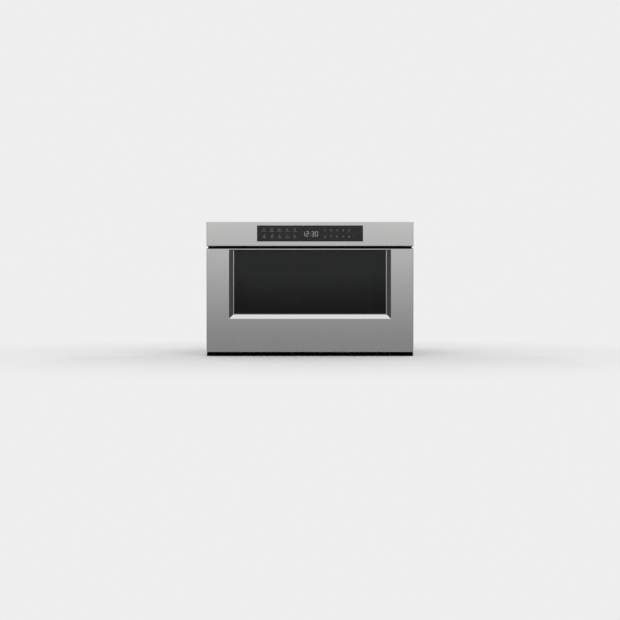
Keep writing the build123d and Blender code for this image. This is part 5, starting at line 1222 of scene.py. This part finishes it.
class MWD_OT_key_digits(DrawerOperator, bpy.types.Operator):
    """Number keys, one to nine and nought, in two rows"""

    bl_idname = "mwd.key_digits"
    bl_label = "Number keys"

    def execute(self, context):
        """Make each digit from the built-in font, as a mesh, and put its points in their place."""
        legend = self.settings(context).legend
        parts = []
        for index in range(10):
            row, column = divmod(index, 5)
            x = legend.digit_middle + (column - 2) * legend.digit_pitch
            z = legend.row_height + (0.5 - row) * legend.row_pitch
            parts.append(self.digit(str((index + 1) % 10), x, z, legend))
        make_piece("key_digits", parts, materials["print"], "chassis")
        return {"FINISHED"}

    def digit(self, text, x, z, legend):
        """Points and faces of one digit, centred at (x, z)."""
        curve = bpy.data.curves.new("digit", "FONT")
        curve.body = text
        curve.extrude = 0.5
        curve.resolution_u = 3
        glyph = bpy.data.objects.new("digit", curve)
        mesh = bpy.data.meshes.new_from_object(glyph)
        points = np.array([vertex.co for vertex in mesh.vertices])
        faces = [np.array(face.vertices) for face in mesh.polygons]
        bpy.data.objects.remove(glyph)
        bpy.data.curves.remove(curve)
        bpy.data.meshes.remove(mesh)
        low, high = points.min(0), points.max(0)
        flat = (points - (low + high) / 2) * legend.digit_height / (high[1] - low[1])
        depth = FRONT + legend.print_depth * (0.5 - np.sign(points[:, 2]) / 2)
        return np.stack([x + flat[:, 0], depth, z + flat[:, 1]], axis=-1), faces


class MWD_OT_clock(DrawerOperator, bpy.types.Operator):
    """Lit clock of seven-segment digits with a colon"""

    bl_idname = "mwd.clock"
    bl_label = "Clock"

    def execute(self, context):
        """Lay the segments of four digits side by side and put two dots between them."""
        s = self.settings(context)
        legend = s.legend
        thick = legend.clock_height * 0.10
        tall = legend.clock_height - thick
        step = legend.clock_width / CLOCK_SPAN
        outlines = [
            segment(name, tall, thick) + np.array([share * step, legend.clock_rise])
            for digit, share in zip(CLOCK_DIGITS, CLOCK_STEPS) for name in SEGMENTS[digit]]
        outlines += [circle(thick * 0.55, (0.0, legend.clock_rise + rise * tall)) for rise in (-0.22, 0.22)]
        parts = [plate(outline, FRONT, legend.print_depth) for outline in outlines]
        make_piece("clock_digits", parts, clock_glow(s.finish), "chassis")
        return {"FINISHED"}


class MWD_OT_screws(DrawerOperator, bpy.types.Operator):
    """Hexagon washer head screws on the case, the arms and the feet"""

    bl_idname = "mwd.screws"
    bl_label = "Screws"

    def execute(self, context):
        """Copy one head to each place where two sheets are held together."""
        head = screw_head(self.settings(context).hardware)
        chassis = self.case_places() + self.foot_places()
        arms = self.arm_places()
        for name, body, sides in (("case_screws", "chassis", chassis), ("drawer_screws", "drawer", arms)):
            parts = [part for axis, places in sides for part in copies(turn_to(head, axis), places)]
            make_piece(name, parts, materials["zinc"], body, smooth_angle=35)
        return {"FINISHED"}

    def case_places(self):
        """Back edges, sides and top of the case."""
        inset = 7.0 * MM
        cover = node_box("rear_cover")
        back = cover[1][1]
        rises = inset_row(cover, 2, 30.0 * MM, 4)
        behind = [(x, back, z) for x in inset_row(cover, 0, inset) for z in rises]
        behind += [(x, back, z) for x in COVER_SCREWS for z in inset_row(cover, 2, inset)]
        side = node_box("base_plate")[1][0]
        top = node_box("outer_case")[1][2]
        return [
            ("+Y", behind),
            ("+X", [(side, back - inset, z) for z in rises]),
            ("-X", [(-side, back - inset, z) for z in rises]),
            ("+Z", [(x, back - inset, top) for x in TOP_SCREWS]),
        ]

    def foot_places(self):
        """Feet of the motor, the transformer and the bearings, which stand on the base."""
        top = node_box("base_plate")[0][2] + FOOT_TOP
        motor, core = node_box("drive_motor"), node_box("transformer_core")
        bearings = node_box("shaft_bearings")
        edge = 5.2 * MM
        places = [(motor[0][0] + edge, y, top) for y in inset_row(motor, 1, 16.0 * MM)]
        places += [(x, y, top) for x in inset_row(core, 0, 12.0 * MM) for y in inset_row(core, 1, 8.0 * MM)]
        reach = bearings[1][0] - 13.0 * MM
        places += [(x, y, top) for x in (-reach, reach) for y in inset_row(bearings, 1, edge)]
        return [("+Z", places)]

    def arm_places(self):
        """Slides and racks on the carriage arms."""
        arm, slide, rack = (node_box(f"{name}_right") for name in ("carriage_arm", "slide_inner", "rack"))
        inner = arm[0][0]
        inset = 40.0 * MM
        last = min(slide[1][1], arm[1][1])
        middle = (slide[0][2] + slide[1][2]) / 2
        foot = (rack[0][2] + rack[1][2]) / 2 + 2.0 * MM
        right = [(inner, y, middle) for y in np.linspace(slide[0][1] + inset, last - inset, 5)]
        right += [(inner, y, foot) for y in inset_row(rack, 1, 30.0 * MM, 5)]
        return [("-X", right), ("+X", [(-x, y, z) for x, y, z in right])]


class MWD_OT_tub_trims(DrawerOperator, bpy.types.Operator):
    """Roll on the tub's rim and sealant round the tray"""

    bl_idname = "mwd.tub_trims"
    bl_label = "Tub trims"

    def execute(self, context):
        """Carry a round profile along the rim and a hollow fillet along the tray's edge."""
        s = self.settings(context)
        radius, size = s.hardware.bead_radius, s.hardware.seal_size
        low, high = node_box("tub_shell")
        angle = np.linspace(0, 2 * np.pi, 10, endpoint=False)
        section = np.stack([radius * np.cos(angle), high[2] - radius / 2 + radius * np.sin(angle)], axis=-1)
        front = low[1] + 1.3 * MM
        rim = tub_path(high[0] - RIM_INSET - radius, front, high[1] - radius, RIM_CORNER - radius)
        roll = carried(rim, section)
        make_piece("rim_roll", [roll], materials["enamel"], "drawer", smooth_angle=60)
        low, high = node_box("ceramic_tray")
        turn = np.radians(np.linspace(90, 0, 6))
        hollow = np.stack([-size + size * np.cos(turn) ** 2, high[2] + size * (1 - np.sin(turn))], axis=-1)
        wall, under = 0.15 * MM, high[2] - 0.5 * MM
        fillet = np.concatenate([hollow, [(wall, high[2] + size), (wall, under), (-size, under)]])
        edge = tub_path(high[0], low[1], high[1], TRAY_CORNER)
        seal = carried(edge, fillet, closed=True)
        make_piece("tray_seal", [seal], sealant(), "drawer", smooth_angle=60)
        return {"FINISHED"}


class MWD_OT_welds(DrawerOperator, bpy.types.Operator):
    """Spot welds on the case and pressed bosses on the slides"""

    bl_idname = "mwd.welds"
    bl_label = "Spot welds"

    def execute(self, context):
        """Lay rows of low domes along the case's front edge and the slides' webs."""
        s = self.settings(context).hardware
        turns = np.radians(np.linspace(0, 75, 4))
        profile = np.stack([s.weld_radius * np.cos(turns), s.weld_height * np.sin(turns)], axis=-1)
        dome = facing_out(loft(turned(profile, 14)))
        low, high = node_box("outer_case")
        half = node_box("base_plate")[1][0]
        top = high[2] - 2.0 * MM
        y = low[1] + 8.0 * MM
        inset = 20.0 * MM
        rises = np.arange(low[2] + inset, top - inset, s.weld_pitch)
        across = np.arange(inset - half, half - inset, s.weld_pitch)
        parts = copies(turn_to(dome, "+X"), [(half, y, z) for z in rises])
        parts += copies(turn_to(dome, "-X"), [(-half, y, z) for z in rises])
        parts += copies(dome, [(x, y, top) for x in across])
        make_piece("spot_welds", parts, materials["zinc"], "chassis", smooth_angle=40)
        for side, axis, outer in (("left", "-X", 0), ("right", "+X", 1)):
            slide = node_box(f"slide_middle_{side}")
            middle = (slide[0][2] + slide[1][2]) / 2
            places = [(slide[outer][0], y, middle) for y in inset_row(slide, 1, 30.0 * MM, 7)]
            bosses = copies(turn_to(dome, axis), places)
            name, body = f"slide_bosses_{side}", f"slide_middle_{side}"
            make_piece(name, bosses, materials["steel"], body, smooth_angle=40)
        return {"FINISHED"}


class MWD_OT_bumpers(DrawerOperator, bpy.types.Operator):
    """Rubber bumpers on the back of the drawer front"""

    bl_idname = "mwd.bumpers"
    bl_label = "Bumpers"

    def execute(self, context):
        """Put a domed button near each corner of the door's back."""
        s = self.settings(context).hardware
        radius, height = s.bumper_radius, s.bumper_height
        profile = [
            (radius, 0.0), (radius, height * 0.5), (radius * 0.85, height * 0.85), (radius * 0.5, height)]
        button = turn_to(facing_out(loft(turned(profile, 24))), "+Y")
        door = node_box("door_frame")
        inset = 16.0 * MM
        x = door[1][0] - inset
        places = [(side, door[1][1], z) for side in (-x, x) for z in inset_row(door, 2, inset)]
        buttons = copies(button, places)
        rubber = materials["black_plastic"]
        make_piece("door_bumpers", buttons, rubber, "drawer", smooth_angle=40)
        return {"FINISHED"}


class MWD_OT_slide_balls(DrawerOperator, bpy.types.Operator):
    """Rows of steel balls in sheet cages that stand for the plain rollers"""

    bl_idname = "mwd.slide_balls"
    bl_label = "Slide balls"

    def execute(self, context):
        """Fill each cage's length with balls, above and below, on both sides."""
        hardware = self.settings(context).hardware
        for node, body in (("outer_roller_cages", "outer_cages"), ("inner_roller_cages", "inner_cages")):
            self.cage(node, body, hardware)
        return {"FINISHED"}

    def cage(self, node, body, s):
        """Balls and strips in the four races that a node's solids lie in."""
        box = node_box(node)
        low, high = box
        count = int((high[1] - low[1] - 6.0 * MM) / s.ball_pitch)
        along = (low[1] + high[1]) / 2 + (np.arange(count) - (count - 1) / 2) * s.ball_pitch
        polar = np.linspace(0, np.pi, s.ball_rings + 1)[1:-1]
        profile = BALL_RADIUS * np.stack([np.sin(polar), -np.cos(polar)], axis=-1)
        ball = facing_out(loft(turned(profile, s.ball_sides)))
        x = high[0] - 2.0 * MM
        races = [(side, rise) for side in (-x, x) for rise in inset_row(box, 2, BALL_RADIUS)]
        balls = [part for side, rise in races for part in copies(ball, [(side, y, rise) for y in along])]
        strips = [self.strip(side, rise, low[1], high[1]) for side, rise in races]
        piece = make_piece(f"{body}_balls", balls, ball_steel(), body, smooth_angle=60)
        cage = make_piece(f"{body}_strips", strips, materials["steel"], body)
        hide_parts(node)
        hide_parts(node)

    def strip(self, x, z, start, end):
        """Thin strip with pressed edges: a shallow W carried along the depth."""
        wide, half = 1.9 * MM, 0.4 * MM
        section = [
            (-wide, -half), (wide, -half), (wide, half * 1.6), (wide * 0.8, half), (-wide * 0.8, half),
            (-wide, half * 1.6)]
        section = np.array(section) + (x, z)
        return facing_out(loft([stood(section, start), stood(section, end)]))


class MWD_PT_sidebar(bpy.types.Panel):
    """Lists the drawer's operators and settings"""

    bl_idname = "MWD_PT_sidebar"
    bl_label = "Microwave Drawer"
    bl_space_type = "VIEW_3D"
    bl_region_type = "UI"
    bl_category = "Drawer"

    def draw(self, context):
        """Show each operator, then each group of settings."""
        for operator in OPERATORS:
            self.layout.operator(operator.bl_idname)
        drawer = context.scene.microwave_drawer
        for group in (drawer.stage, drawer.finish, drawer.legend, drawer.hardware):
            box = self.layout.box()
            for name in group.__annotations__:
                box.prop(group, name)


class DrawerSettings(bpy.types.PropertyGroup):
    """All settings of the drawer."""

    stage: PointerProperty(type=StageSettings, name="Stage", description="Floor, light and camera")
    finish: PointerProperty(type=FinishSettings, name="Finish", description="Colours and surfaces")
    legend: PointerProperty(type=LegendSettings, name="Legends", description="Touch panel marks")
    hardware: PointerProperty(
        type=HardwareSettings, name="Hardware", description="Screws, welds, bumpers, seals and balls")


OPERATORS = (
    MWD_OT_stage, MWD_OT_front_finishes, MWD_OT_drawer_finishes, MWD_OT_case_finishes, MWD_OT_touch_panel,
    MWD_OT_window_seal, MWD_OT_key_icons, MWD_OT_key_digits, MWD_OT_clock, MWD_OT_screws, MWD_OT_tub_trims,
    MWD_OT_welds, MWD_OT_bumpers, MWD_OT_slide_balls,
)
CLASSES = (
    StageSettings, FinishSettings, LegendSettings, HardwareSettings, DrawerSettings,
    *OPERATORS, MWD_PT_sidebar,
)


def register():
    """Register the classes and the scene's settings."""
    for cls in CLASSES:
        bpy.utils.register_class(cls)
    bpy.types.Scene.microwave_drawer = PointerProperty(type=DrawerSettings)


def unregister():
    """Remove the settings and the classes."""
    del bpy.types.Scene.microwave_drawer
    for cls in reversed(CLASSES):
        bpy.utils.unregister_class(cls)


def main():
    """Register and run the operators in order."""
    register()
    for operator in OPERATORS:
        group, name = operator.bl_idname.split(".")
        if getattr(getattr(bpy.ops, group), name)() != {"FINISHED"}:
            raise RuntimeError(f"{operator.bl_label} did not finish")


if __name__ == "__main__":
    main()
